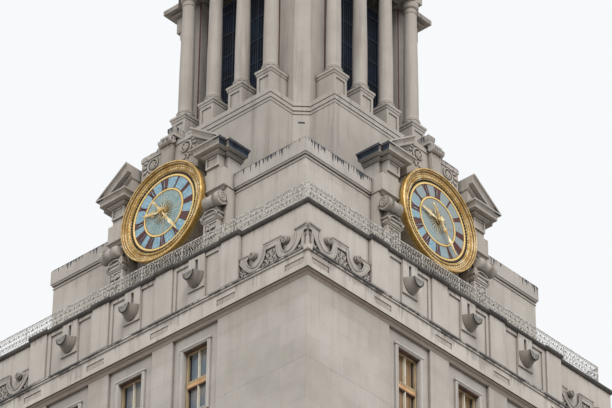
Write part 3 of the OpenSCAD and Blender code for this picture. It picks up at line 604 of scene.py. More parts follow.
def makeMosaic():
    look = mosaicLook
    made, tree, coords = newFinish("glassMosaic")
    place = partsOf(tree, coords["Object"])
    _, _, rise, radius = placeOnFace(tree, place)
    tiles = addNode(tree, "ShaderNodeTexVoronoi", {"Vector": coords["Object"],
                                                   "Scale": 1 / look["tessera"]}).outputs
    cloud = noiseOf(tree, coords, look["cloudScale"], 4.0)
    tone = rampOf(tree, calculate(tree, "ADD", cloud, partsOf(tree, tiles["Color"])["X"]), 0.55, 1.45)
    band, disc = [blendOf(tree, tone, *look[key]) for key in ("bandHex", "discHex")]
    colour = blendOf(tree, calculate(tree, "LESS_THAN", radius, look["discR"]), band, disc)
    # a grey film of soot lies over the upper part of the dial on the right face
    high = calculate(tree, "MULTIPLY_ADD", cloud, 0.12, calculate(tree, "ADD", place["Y"], rise))
    film = calculate(tree, "MULTIPLY", rampOf(tree, high, -0.12, 0.04, 0.85), isOnRight(tree, place))
    colour = blendOf(tree, film, colour, look["filmHex"])
    groove = calculate(tree, "GREATER_THAN", radius, look["grooveR"])
    colour = blendOf(tree, groove, colour, look["grooveHex"])
    offs = [distanceFrom(tree, radius, middle) for middle, _ in look["goldRings"]]
    # the brown edges beside the gold rings are painted shade
    for more, shadeRingHex in ((look["edgeW"], look["edgeShadeHex"]), (0, look["goldHex"])):
        rings = [calculate(tree, "LESS_THAN", off, half + more)
                 for off, (_, half) in zip(offs, look["goldRings"])]
        onRing = calculate(tree, "MAXIMUM", *rings)
        colour = blendOf(tree, onRing, colour, shadeRingHex)
    return closeFinish(made, colour, look["roughness"], calculate(tree, "MULTIPLY", onRing, 0.6),
                       tiles["Distance"], 0.2, 0.001)


# A plain finish of one colour that drifts between two tones, with a fine bump, and painted shade in its
# angles where a colour for the hollows is given. Bars that stand out from a field have worn paler: they start
# at a distance from the tower's axis.
def makePlain(name, mainHex, otherHex, scale, roughness, metallic=0.0, stretch=(1, 1, 1), hollowHex=None,
              bars=None):
    made, tree, coords = newFinish(name)
    drift = noiseOf(tree, coords, scale, 5.0, stretch=stretch)
    colour = blendOf(tree, rampOf(tree, drift, 0.38, 0.62), mainHex, otherHex)
    if hollowHex:
        colour = paintHollowShade(tree, colour, 0.02, 0.55, 0.15, 0.85, hollowHex)
    if bars:
        depth = placeOnFace(tree, partsOf(tree, coords["Object"]))[0]
        colour = blendOf(tree, calculate(tree, "GREATER_THAN", depth, bars[0]), colour, bars[1])
    return closeFinish(made, colour, roughness, metallic, drift, 0.3, 0.0008)


# Float glass in front of a drawn blind: smooth, the blind's brown on the right face, a blue-grey painted
# reflection of the sky elsewhere, and painted shade of the unlit room beside the blind.
glassLook = {"skyHex": ("#5f6a75", "#7d7771"), "blindHex": ("#6a543f", "#8e7252"), "roomShadeHex": "#20242b",
             "blindHalf": 0.044, "cloudScale": 9.0, "foldScale": 60.0, "roughness": 0.12}


def makeGlass():
    look = glassLook
    made, tree, coords = newFinish("windowGlass")
    place = partsOf(tree, coords["Object"])
    aside = calculate(tree, "ADD", placeOnFace(tree, place)[1], windowPitch / 2)
    offset = distanceFrom(tree, calculate(tree, "MODULO", aside, windowPitch), windowPitch / 2)
    folds = noiseOf(tree, coords, look["foldScale"], 2.0, stretch=(1, 1, 0.12))
    cloud = noiseOf(tree, coords, look["cloudScale"], 2.0)
    skyReflection = blendOf(tree, rampOf(tree, cloud, 0.4, 0.6), *look["skyHex"])
    blind = blendOf(tree, rampOf(tree, folds, 0.38, 0.62), *look["blindHex"])
    colour = blendOf(tree, isOnRight(tree, place), skyReflection, blind)
    beside = calculate(tree, "GREATER_THAN", offset, look["blindHalf"])
    return closeFinish(made, blendOf(tree, beside, colour, look["roomShadeHex"]), look["roughness"])


# a run is (top, drop, strength, colour, softness, how its length varies, how full its fine streaks are or 0),
# and a line is (middle, half its width, strength, colour)
wallStone = makeStone("sawnLimestone", "#a7a098", "#b6afa7", "#8b7d70", blocks=True, dirtShare=0.12,
                      creaseShade=0.5, runs=[(6.953, 0.35, 0.12, "#8a7c6f", 0.35, 0.3, 0)])
courseStone = makeStone("mouldedLimestone", "#b7afa6", "#c4bdb4", "#7b6b60", dirtShare=0.35, topDirt=0.9,
                        hollowShade=0.7,
                        runs=[(7.045, 0.07, 0.4, "#5f564f", 0.2, 0.9, 0.14),
                              (7.062, 0.026, 0.8, "#20272f", 0.12, 0.9, 0)],
                        # lines of painted shade: the cove under the fascia, the shadow at the fascia's foot
                        # and the angles of the bed mould
                        lines=[(6.9635, 0.0135, 0.6, "#8d7d6e"), (6.9726, 0.0018, 0.9, "#43372e"),
                               (6.9662, 0.001, 0.65, "#5c4e42"), (6.9545, 0.0018, 0.75, "#54473c")])
reedStone = makeStone("reededLimestone", "#a1968a", "#b5aba0", "#6b5c50", dirtShare=0.5, topDirt=0.9,
                      hollowShade=0.9, creaseShade=0.95)
surroundStone = makeStone("windowLimestone", "#b1aaa3", "#bfb9b2", "#7b6b60", dirtShare=0.25, topDirt=0.8,
                          hollowShade=0.4, creaseShade=0.3)
parapetStone = makeStone("dressedLimestone", "#b2aaa1", "#beb6ad", "#7b6b60", dirtShare=0.26, hollowShade=0.5,
                         runs=[(7.279, 0.05, 0.6, "#5d564f", 0.3, 0.5, 0.14),
                               (7.083, 0.02, 0.5, "#6b6158", 0.3, 0.5, 0)])
scrollStone = makeStone("scrollLimestone", "#9e968e", "#afa79e", "#6b6056", dirtShare=0.4, topDirt=1.0,
                        hollowShade=0.95,
                        runs=[(7.085, 0.025, 0.6, "#4d4a48", 0.3, 0.6, 0.14),
                              (7.19, 0.012, 0.85, "#34383d", 0.1, 0.4, 0),
                              (7.171, 0.007, 0.6, "#4a4a4b", 0.1, 0.6, 0)])
stageStone = makeStone("stageLimestone", "#b1a9a0", "#bdb6ae", "#7b6b60", blocks=True, dirtShare=0.2,
                       runs=[(7.704, 0.1, 0.35, "#8a7c6f", 0.35, 0.3, 0)])
bandStone = makeStone("bandLimestone", "#a9a199", "#b7b0a8", "#5d5a5a", dirtShare=0.2, topDirt=1.0,
                      runs=[(7.783, 0.007, 1.0, "#1d242e", 0.1, 0.3, 0),
                            (7.783, 0.075, 0.95, "#262c34", 0.05, 0.35, 0.055)])
carvedStone = makeStone("carvedLimestone", "#aba399", "#b9b1a8", "#6f6156", dirtShare=0.35, topDirt=0.8,
                        hollowShade=0.7, creaseShade=0.65)
# the spouts' stone is darker than the rest: partly dirt, partly painted shade on their undersides
spoutDirtAndShadeStone = makeStone("spoutDirtAndShadeLimestone", "#7f776d", "#938b82", "#4a4540", dirtShare=0.55, topDirt=0.9)
crownStone = makeStone("crownLimestone", "#a39b92", "#b2aaa1", "#6f6156", dirtShare=0.35, topDirt=1.0,
                       runs=[(8.137, 0.06, 1.0, "#2f3640", 0.15, 0.5, 0.14),
                             (8.058, 0.03, 0.9, "#3a3f47", 0.15, 0.5, 0.14)])
copingStone = makeStone("crustedLimestone", "#363230", "#5c5650", "#242529", dirtShare=0.75, topDirt=0.85)
eavesStone = makeStone("eavesLimestone", "#8f877e", "#a49b91", "#4e453d", dirtShare=0.65, topDirt=0.9,
                       runs=[(9.364, 0.09, 0.6, "#4a4037", 0.35, 0.5, 0.14)])
slateStone = makeStone("darkCrustLimestone", "#a29a91", "#b3aba2", "#5b5650", topDirt=1.0, sideDirt=1.0)
belfryStone = makeStone("belfryLimestone", "#a29a91", "#b0a89f", "#6d635b", dirtShare=0.42, topDirt=0.8,
                        runs=[(9.364, 0.09, 0.6, "#4a4037", 0.35, 0.5, 0.14)])
# the gilt of the raised ornament, rays and hands carries painted highlight; the bezels' gilt carries dirt and
# painted shade
highlitGilt = makeGilt("highlitGiltBronze", 0.35, True)
soiledShadedGilt = makeGilt("soiledShadedGiltBronze", 0.5, False)
dialMosaic = makeMosaic()
# Blackened bronze: nearly black, with a dull metal sheen.
blackBronze = makePlain("blackenedBronze", "#1c1512", "#30231b", 60.0, 0.55, 0.1)
# The same metal left bare on the screens: browner and duller.
brownBronze = makePlain("brownedBronze", "#2b2724", "#453c34", 60.0, 0.7, 0.1)
# Fired enamel, dark red-brown, smooth and a little glossy.
redEnamel = makePlain("redBrownEnamel", "#5a2216", "#451a11", 45.0, 0.5)
# Oiled hardwood joinery, planed: long grain up and down, faded where the sun reaches, with painted shade in
# its angles.
sashTimber = makePlain("oiledTimber", "#94805f", "#b09b78", 30.0, 0.55, stretch=(6, 6, 0.8),
                       hollowHex="#3f2f22")
# Cream oil paint brushed on timber, smooth, with the grain faint under it.
mullionTimber = makePlain("paintedTimber", "#e6dfcf", "#d0c7b0", 30.0, 0.5, stretch=(6, 6, 0.8))
# Timber gone orange-brown with age, its long grain across the window, with painted shade in its angles.
transomTimber = makePlain("agedTimber", "#b98553", "#d2ad80", 30.0, 0.55, stretch=(0.8, 0.8, 6),
                          hollowHex="#4d2f1a")
# The same timber made nearly black: painted shade where it lies under the window's head.
headShadeTimber = makePlain("shadedTimber", "#4a372b", "#62493a", 30.0, 0.7, stretch=(0.8, 0.8, 6))
roomGlass = makeGlass()
# Sheet lead, beaten into the trough and wet: dark blue-grey, nearly matt.
darkLead = makePlain("darkLead", "#1d2024", "#2b2f34", 50.0, 0.6, 0.2)
# The same sheet at the spouts' mouths: pale grey.
paleLead = makePlain("paleMouthLead", "#686868", "#8e8e8d", 80.0, 0.65)
# Galvanised wire and rail: pale grey zinc with a dull sheen.
zincWire = makePlain("galvanisedWire", "#9a958e", "#e4dfd7", 110.0, 0.6, 0.1)
# Rusted wire ends: dull dark brown-grey.
rustedWire = makePlain("rustedWire", "#3a3531", "#655d56", 90.0, 0.8, 0.1)
# Brushed-on metal paint, dark blue, chalking, made near black with the painted shade of the belfry's
# interior.
screenPaintAndShade = makePlain("screenPaintAndShade", "#081321", "#0f2438", 12.0, 0.75, bars=(0.3195, "#323a46"))
screenPaintAndShade.node_tree.nodes["Principled BSDF"].inputs["Specular IOR Level"].default_value = 0.2

nodeFinishes = {
    wallStone: ["plinth"] + [part + side for part in ("shaft_", "top_storey_") for side in sideNames],
    carvedStone: ["clock_piers", "consoles"],
    surroundStone: ["window_surrounds"],
    spoutDirtAndShadeStone: ["water_spouts"],
    crownStone: ["attic_panels", "keystones"],
    scrollStone: ["corner_scrolls"],
    courseStone: ["cornice"],
    parapetStone: ["parapet_" + side for side in sideNames],
    copingStone: ["coping", "deck_slab", "storey_floors", "stage_roof", "belfry_roof"],
    eavesStone: ["belfry_cornice"],
    stageStone: ["stage_" + side for side in sideNames],
    bandStone: ["stage_band"],
    slateStone: ["half_pediments"],
    belfryStone: ["belfry_base", "belfry_floor", "pedestals", "columns", "belfry_piers", "entablature"],
    highlitGilt: ["dial_arbors"] + [side + hand for hand in ("_hour_hand", "_minute_hand")
                                   for side in sideNames],
    soiledShadedGilt: ["bezels"],
    dialMosaic: ["dials"],
    zincWire: ["deck_fence"],
    screenPaintAndShade: ["belfry_screens"],
}


def finishNodes():
    for finish, nodes in nodeFinishes.items():
        for node in nodes:
            solid = frame["nodes"][node]
            solid.data.materials.clear()
            solid.data.materials.append(finish)
    print("finished", len(frame["nodes"]), "solids")


# windows
windowLook = {
    "boxW": 0.007,                  # timber box in the reveal
    "boxD": (0.856, 0.87),
    "edge": 0.001,                  # chamfer of the joinery and the trim
    "proud": 0.001,                 # how far the posts, the drip and the head board stand out
    "mullionW": 0.0032,
    "transomZ": (-0.154, -0.128),   # between the two sashes, from the window's head
    "transomH": 0.017,
    "transomEdge": 0.0012,
    "upperRail": (-0.008, 0.003),   # from the transom's top
    # a thin dark strip under the transom: painted shadow
    "drip": (-0.0045, -0.0002),     # from the transom's foot
    "railH": 0.009,
    "railProud": 0.0005,
    "inset": 0.002,                 # of the bottom rail, the glass, the head board and, outward, the transom
    "boardH": 0.003,
    "boardIn": 0.0005,
    "boardEdge": 0.0006,
    "glassD": (0.857, 0.859),
    "glassEdge": 0.0004,
    "frameW": 0.013,
    "frameOut": 0.008,
    "hoodOut": 0.004,
    "hoodZ": (-0.004, 0.003),       # from the frame's top
    "beadW": 0.004,
    "beadOut": 0.0025,
    "beadAway": 0.002,
    "trimEdge": 0.0008,             # chamfer of the drip and the frame
    "hoodProud": 0.003,
}


def makeWindows():
    look = windowLook
    side, frameW, edge, proud, inset = [look[key] for key in ("boxW", "frameW", "edge", "proud", "inset")]
    middle, head, foot = -windowPitch, headZ, headZ - windowH
    x0, x1 = middle - windowW / 2, middle + windowW / 2
    back, front = look["boxD"]
    face = stripD + look["frameOut"]
    low, high = [head + z for z in look["transomZ"]]

    def finishRows(parts, name, material, rows=windowRows):
        row = repeatPiece(joinPieces(parts), 3, (windowPitch, 0, 0))
        finishOnSides(repeatPiece(row, rows, (0, 0, -storeyH)), name, material)

    def addBar(z, ends, d0, d1, chamfer):
        return addBlock((x0 + side, d0, z + ends[0]), (x1 - side, d1, z + ends[1]), chamfer)

    sash = addFrame(x0, x1, foot, head, side, back, front, edge)
    bottomRail = addBar(foot + side, (0, look["railH"]), back + inset, front - inset, edge)
    finishRows([sash, bottomRail], "sashes", sashTimber)
    half = look["mullionW"] / 2
    posts = [addBlock((middle - half, back + proud, z0), (middle + half, front + proud, z1), edge)
             for z0, z1 in ((foot + side, low), (high, head - side))]
    finishRows(posts, "mullions", mullionTimber)
    transom = addBar(low, (0, look["transomH"]), back, front + inset, look["transomEdge"])
    finishRows([transom], "transoms", transomTimber)
    upperRail = addBar(high, look["upperRail"], back, front + look["railProud"], edge)
    finishRows([upperRail], "upper_sash_rails", sashTimber)
    gap = look["boardIn"]
    # the head board and the strip under the transom are painted shade and painted shadow
    board = addBlock((x0 + gap, front + proud, head - look["boardH"]), (x1 - gap, face - inset, head),
                     look["boardEdge"])
    drip = addBar(low, look["drip"], back, front + proud, look["trimEdge"])
    finishRows([board, drip], "window_head_shade_boards", headShadeTimber)
    inner, outer = look["glassD"]
    pane = addBlock((x0 + inset, inner, foot + inset), (x1 - inset, outer, head - inset), look["glassEdge"])
    finishRows([pane], "panes", roomGlass)

    frameRing = addFrame(x0 - frameW, x1 + frameW, foot - frameW, head + frameW, frameW, stripD, face,
                         look["trimEdge"])
    reach = frameW + look["hoodOut"]
    under, over = [head + frameW + z for z in look["hoodZ"]]
    hood = addBlock((x0 - reach, stripD, under), (x1 + reach, face + look["hoodProud"], over), edge)
    lower = joinPieces([frameRing, hood])
    lower.data.transform(Matrix.Translation((0, 0, -storeyH)))
    finishRows([lower], "lower_surrounds", surroundStone, windowRows - 1)
    reach = look["beadW"] + look["beadAway"]
    bead = addFrame(x0 - reach, x1 + reach, foot - reach, head + reach, look["beadW"], face - seat,
                    face + look["beadOut"], edge)
    finishRows([bead], "surround_beads", surroundStone)


# the wire mesh between the fence's rails
fenceLook = {
    "layers": ((0.0115, 0.006, 0.0125), (0.0143, 0.0035, 0.02)),   # pitch, swing and rise of the zigzags
    "wireR": 0.00095, "reach": 0.846, "height": 0.1, "lift": 0.001,
    "lines": 6, "lineR": 0.0009, "lineStep": 0.024, "sag": 0.0022,
    "curlR": 0.0037, "curlWireR": 0.001425, "curlShift": 0.007, "curlRoom": 0.03,
    "curlArc": (-90, 210, 50), "curlTurn": 70,   # degrees: from, to and step, and how each row is turned
    "curlRows": ((0.2, 0.0217), (0.52, 0.0185), (0.8, 0.0253)),   # share of the height, pitch
}


def makeFence():
    look = fenceLook
    reach, high = look["reach"], look["height"]
    parts = []
    for pitch, swing, rise in look["layers"]:
        points = [(-reach + (swing if i % 2 else -swing), fenceD, fenceZ + look["lift"] + i * rise)
                  for i in range(int(high / rise) + 1)]
        count = int(2 * reach / pitch) + 1
        wire = addRod(points, look["wireR"], rings=0)
        parts.append(repeatPiece(wire, count, (2 * reach / (count - 1), 0, 0)))
    finishOnSides(joinPieces(parts), "fence_mesh", zincWire)
    parts = []
    steps = int(2 * reach / look["lineStep"])
    for row in range(look["lines"]):   # wires along the fence, bent out of line
        z = fenceZ + high * (row + 0.6) / look["lines"]
        line = []
        for i in range(steps + 1):
            bend = look["sag"] * math.sin(2.3 * i + 1.9 * row) * math.sin(0.37 * i + row)
            line.append((-reach + 2 * reach * i / steps, fenceD, z + bend))
        parts.append(addRod(line, look["lineR"], rings=0))
    span = 2 * reach - look["curlRoom"]
    for row, (share, pitch) in enumerate(look["curlRows"]):   # loose ends of wire, curled over
        across = int(span / pitch)
        angles = [t + look["curlTurn"] * row for t in range(*look["curlArc"])]
        x, z = -reach + look["curlShift"] * row, fenceZ + high * share
        curl = arcPoints(x, z, fenceD, look["curlR"], angles)
        curl = addRod(curl, look["curlWireR"], rings=0)
        parts.append(repeatPiece(curl, across, (span / (across - 1), 0, 0)))
    finishOnSides(joinPieces(parts), "fence_curls", rustedWire)


# carved leaves and scrolls, modelled once and laid where they are needed
leafLook = {"across": 4, "along": 6, "lobes": 3.0, "lobeDepth": 0.24, "thick": 0.09, "domed": 0.16,
            "curl": 0.12, "rib": 0.05}


# one leaf of length 1 that lies on the plane y = 0, points up and bulges towards -Y
def addLeaf(width):
    look = leafLook
    clearSelection()
    bpy.ops.mesh.primitive_grid_add(x_subdivisions=look["across"], y_subdivisions=look["along"], size=2)
    leaf = bpy.context.object
    for point in leaf.data.vertices:
        side, reach = point.co.x, (point.co.y + 1) / 2
        swell = math.sin(math.pi * min(1.0, 0.12 + 0.88 * reach) ** 0.9) ** 0.75 if reach < 1 else 0.0
        edge = 1 + look["lobeDepth"] * math.sin(look["lobes"] * 2 * math.pi * reach)
        rib = look["rib"] * (1 - min(1, abs(side) * 3))
        bulge = look["domed"] * (1 - side * side) * math.sin(math.pi * (0.1 + 0.8 * reach)) + rib
        point.co = (side * width / 2 * swell * edge, -bulge - look["curl"] * reach ** 3, reach)
    pickOnly(leaf)
    shell = leaf.modifiers.new("shell", "SOLIDIFY")
    shell.thickness = look["thick"]
    shell.offset = 0
    bpy.ops.object.modifier_apply(modifier="shell")
    openEdit()
    bpy.ops.mesh.remove_doubles(threshold=0.002)
    bpy.ops.mesh.normals_make_consistent(inside=False)
    closeEdit()
    bpy.ops.object.shade_smooth()
    return leaf


# a copy of a leaf with its foot at (x, d, z), turned clockwise on the front and scaled to a length
def layLeaf(leaf, x, d, z, turn, length):
    place = Matrix.Translation((x, -d, z)) @ Matrix.Rotation(turn, 4, "Y") @ Matrix.Scale(length, 4)
    return copyOf(leaf, place)


def spiralPoints(x, z, d, outerR, innerR, start, turns, steps=12, rise=0.0):
    count = int(abs(turns) * steps)
    points = []
    for i in range(count + 1):
        share = i / count
        r = outerR + (innerR - outerR) * share ** 0.85
        a = start + 2 * math.pi * turns * share
        points.append((x + r * math.cos(a), d + rise * share, z + r * math.sin(a)))
    return points


# dials
dialLook = {
    "beads": 84, "beadRingR": 0.1722, "beadR": 0.0044, "beadShares": (0.8, 0.8, 1.0),
    "numeralR": 0.1318, "numeralH": 0.049, "strokeW": 0.0079, "thinW": 0.0058, "relief": 0.0012,
    "flareW": 0.0092, "flareH": 0.0026, "flareRelief": 0.0014, "markEdge": 0.0004,
    "bossR": 0.013, "bossOut": 0.002, "bossEdge": 0.0012, "bossSides": 32,
    "rays": 20, "rayEdge": 0.0002,   # a ray is (foot, tip, width, height)
    "goldRay": (0.012, 0.056, 0.0034, 0.0014), "longRay": (0.012, 0.096, 0.0028, 0.0012),
    "darkRay": (0.014, 0.052, 0.0022, 0.001),
}
numerals = ["XII", "I", "II", "III", "IIII", "V", "VI", "VII", "VIII", "IX", "X", "XI"]
# each letter's room, its strokes as (aside, lean, width) and its flares as (aside, end), aside as a share
letters = {
    "I": (0.0091, [(0, 0, "strokeW")], [(0, 1), (0, -1)]),
    "V": (0.0185, [(-0.17, -0.5, "strokeW"), (0.17, 0.5, "thinW")], [(-0.3, 1), (0.3, 1)]),
    "X": (0.0195, [(0, -1, "strokeW"), (0, 1, "thinW")], [(-0.3, 1), (0.3, 1), (-0.3, -1), (0.3, -1)]),
}


def addStroke(x, lean, wide):
    look = dialLook
    half, high = wide / 2, look["numeralH"] / 2
    bar = addBlock((-half, dialD - seat, -high), (half, dialD + look["relief"], high), look["markEdge"])
    bar.rotation_euler = (0, lean, 0)
    bar.location = (x, 0, dialZ + look["numeralR"])
    applyPlace(bar)
    return bar


def addFlare(x, end):
    look = dialLook
    wide, high = look["flareW"] / 2, look["flareH"] / 2
    z = dialZ + look["numeralR"] + end * (look["numeralH"] / 2 - high)
    return addBlock((x - wide, dialD - seat, z - high), (x + wide, dialD + look["flareRelief"], z + high),
                    look["markEdge"])


def addNumeral(text):
    look = dialLook
    x = -sum(letters[c][0] for c in text) / 2
    parts = []
    for room, strokes, flares in [letters[c] for c in text]:
        middle = x + room / 2
        lean = math.atan2(room - look["strokeW"], look["numeralH"])
        parts += [addStroke(middle + room * aside, lean * tilt, look[wide]) for aside, tilt, wide in strokes]
        parts += [addFlare(middle + room * aside, end) for aside, end in flares]
        x += room
    return joinPieces(parts)


def addRay(foot, tip, wide, high):
    return addPlate([(-wide / 2, dialZ + foot), (wide / 2, dialZ + foot), (wide / 8, dialZ + tip),
                     (-wide / 8, dialZ + tip)], dialD - seat, dialD + high, dialLook["rayEdge"])


def makeDials():
    look = dialLook
    marks = []
    for hour, text in enumerate(numerals):
        numeral = addNumeral(text)
        for point in numeral.data.vertices:   # each numeral narrows towards the middle of the dial
            point.co.x *= (point.co.z - dialZ) / look["numeralR"]
        numeral.data.transform(aboutDial(hour / 12))
        marks.append(numeral)
    finishOnSides(joinPieces(marks), "dial_numerals", redEnamel)
    bead = addBall(0, dialD + look["beadR"] / 2, dialZ + look["beadRingR"], look["beadR"], look["beadShares"],
                   detail=2, smooth=False)
    finishOnSides(ringOf(bead, look["beads"]), "dial_beads", blackBronze)

    gold = [ringOf(addRay(*look["goldRay"]), look["rays"]), ringOf(addRay(*look["longRay"]), 4)]
    boss = addCylinder(0, dialZ, look["bossR"], dialD - seat, dialD + look["bossOut"], look["bossSides"])
    openEdit()
    bpy.ops.mesh.bevel(offset=look["bossEdge"], segments=2)
    closeEdit()
    finishOnSides(joinPieces(gold + [boss]), "dial_gold_rays", highlitGilt)
    dark = addRay(*look["darkRay"])
    dark.data.transform(aboutDial(0.5 / look["rays"]))
    finishOnSides(ringOf(dark, look["rays"]), "dial_dark_rays", blackBronze)


# the bezels' ornament
bezelLook = {
    "crestR": 0.2145, "crestD": 0.7692, "crestBeads": 150, "crestBeadR": 0.0028,
    "crestShares": (1.4, 0.6, 0.9), "crestTurn": (0, 0.4, 0),
    "coveR": (0.1895, 0.2055), "coveD": 0.7553, "coveLeaves": 76, "coveLean": -18, "coveFlat": 0.55,
    "drumR": 0.216, "drumD": 0.7, "drumLeaves": 72, "drumLeafH": 0.044,
    "ropeR": 0.1835, "ropeD": 0.759, "ropeTurns": 130, "knotR": 0.0014, "knotHalf": (0.003, 0.002),
    "knotOut": 0.0006,
    "fillets": [(0.2085, 0.7655, 0.0013), (0.2025, 0.7572, 0.001), (0.1895, 0.7552, 0.001),
                (0.1775, 0.754, 0.0016)],   # radius, distance from the axis, thickness
}


def makeBezels():
    look = bezelLook
    bump = addBall(0, look["crestD"], dialZ + look["crestR"], look["crestBeadR"], look["crestShares"],
                   look["crestTurn"])
    finishOnSides(ringOf(bump, look["crestBeads"]), "bezel_crest_rope", highlitGilt)

    leaf = addLeaf(0.6)
    foot, tip = look["coveR"]
    cove = copyOf(leaf, Matrix.Translation((0, -look["coveD"], dialZ + foot))
                  @ Matrix.Rotation(math.radians(look["coveLean"]), 4, "X") @ Matrix.Scale(tip - foot, 4)
                  @ Matrix.Scale(look["coveFlat"], 4, (0, 1, 0)))
    finishOnSides(ringOf(cove, look["coveLeaves"]), "bezel_cove_leaves", highlitGilt)
    rings = [addRod(arcPoints(0, dialZ, d, r, range(90, -270, -3)), thick, closed=True)
             for r, d, thick in look["fillets"]]
    finishOnSides(joinPieces(rings), "bezel_fillets", highlitGilt)

    side = copyOf(leaf, Matrix.Translation((0, -look["drumD"], dialZ + look["drumR"]))
                  @ Matrix.Rotation(math.radians(90), 4, "X") @ Matrix.Scale(look["drumLeafH"], 4))
    finishOnSides(ringOf(side, look["drumLeaves"]), "bezel_side_leaves", carvedStone)
    bpy.data.objects.remove(leaf)

    d, z = look["ropeD"], dialZ + look["ropeR"]
    aside, rise = look["knotHalf"]
    knot = addRod([(-aside, d, z - rise), (aside, d + look["knotOut"], z + rise)], look["knotR"], rings=0)
    finishOnSides(ringOf(knot, look["ropeTurns"]), "bezel_inner_rope", highlitGilt)


# ornament on the hands, no thicker than they are
handLook = {
    "hour": {"turn": (9 + 24 / 60) / 12, "d": 0.7605, "length": 0.113, "scrollAt": 0.44, "scrollR": 0.0075},
    "minute": {"turn": 24 / 60, "d": 0.769, "length": 0.16, "scrollAt": 0.26, "scrollR": 0.0055},
}
handShape = {
    "rod": 0.00135, "coilAway": 0.003, "coilEnd": 0.0015, "coilTurns": 1.4, "coilSteps": 10,
    "stemX": 0.002, "stemLow": 0.14, "half": 0.0013, "edge": 0.0004,
    "leaf": [(0.0062, 0.74), (0.0028, 0.68), (0.0055, 0.6)],   # half width and share of the hand's length
    "leafEnds": (0.52, 0.99),
}


def makeHands():
    form = handShape
    for kind, look in handLook.items():
        d, length, coilR = look["d"], look["length"], look["scrollR"]
        parts = []
        for side in (-1, 1):
            x, z = side * (coilR + form["coilAway"]), dialZ + length * look["scrollAt"]
            coil = spiralPoints(x, z, d, coilR, form["coilEnd"], math.pi if side > 0 else 0,
                                -form["coilTurns"] * side, form["coilSteps"])
            stem = [(side * form["stemX"], d, dialZ + length * (look["scrollAt"] - form["stemLow"]))]
            parts.append(addRod(stem + coil, form["rod"]))
        foot, tip = form["leafEnds"]
        right = form["leaf"]
        outline = [(0, tip)] + right + [(0, foot)] + [(-x, share) for x, share in reversed(right)]
        outline = [(x, dialZ + length * share) for x, share in outline]
        parts.append(addPlate(outline, d - form["half"], d + form["half"], form["edge"]))
        shape = joinPieces(parts)
        shape.data.transform(aboutDial(look["turn"]))
        for k, side in enumerate(sideNames):
            hand = side + "_" + kind + "_hand"
            turned = copyOf(shape, Matrix.Rotation(math.pi / 2 * k, 4, "Z"))
            finishPiece(turned, hand + "_scrolls", highlitGilt, hand + "_body")
        bpy.data.objects.remove(shape)
    print("made the hands' scrolls")


# carving round the dials
surroundLook = {
    "voluteX": 0.3232, "voluteD": 0.756, "voluteZ": 7.635, "voluteR": 0.0265, "voluteRod": 0.0036,
    "voluteStart": 200, "voluteTurns": 2.1, "voluteSteps": 26, "voluteDrift": 0.0015, "voluteTaper": 0.86,
    "flutes": 15, "fluteRod": 0.0021, "fluteArc": (-70, 220), "fluteTip": 0.4,
    "fluteRuns": [[(0.234, 0.0235), (0.24, 0.0265), (0.25, 0.027), (0.265, 0.025)],
                  [(0.284, 0.0255), (0.294, 0.0275), (0.304, 0.029)]],
    "dropX": 0.256, "dropD": 0.747, "dropZ": (7.532, 7.18), "drops": 10, "dropLeaf": 0.027,
    "dropTurns": (-2.2, 2.2, math.pi),
    "fruitR": 0.0056, "fruitAt": (0.0075, 0.006, 0.008), "fruitShares": (1, 1, 1.15),
    "fruitTurn": (0.3, 0.5, 0.2),
    "hoodZ": 7.577, "hoodD": 0.7605, "hoodHalf": 0.035, "hoodRise": 0.022, "hoodRod": 0.003,
    "earR": (0.007, 0.002), "earRod": 0.0022, "earAt": (0.002, 0.007), "earTurns": 1.3,
    "neckHalf": 0.036, "neckZ": (7.58, 7.614), "neckD": (0.7, 0.7535), "neckEdge": 0.002,
    "friezeHalf": 0.017, "friezeD": 0.7495, "friezeZ": (7.812, 7.848), "friezeOut": 0.003,
    "friezeHigh": 0.002, "friezeEdge": 0.0008,
}


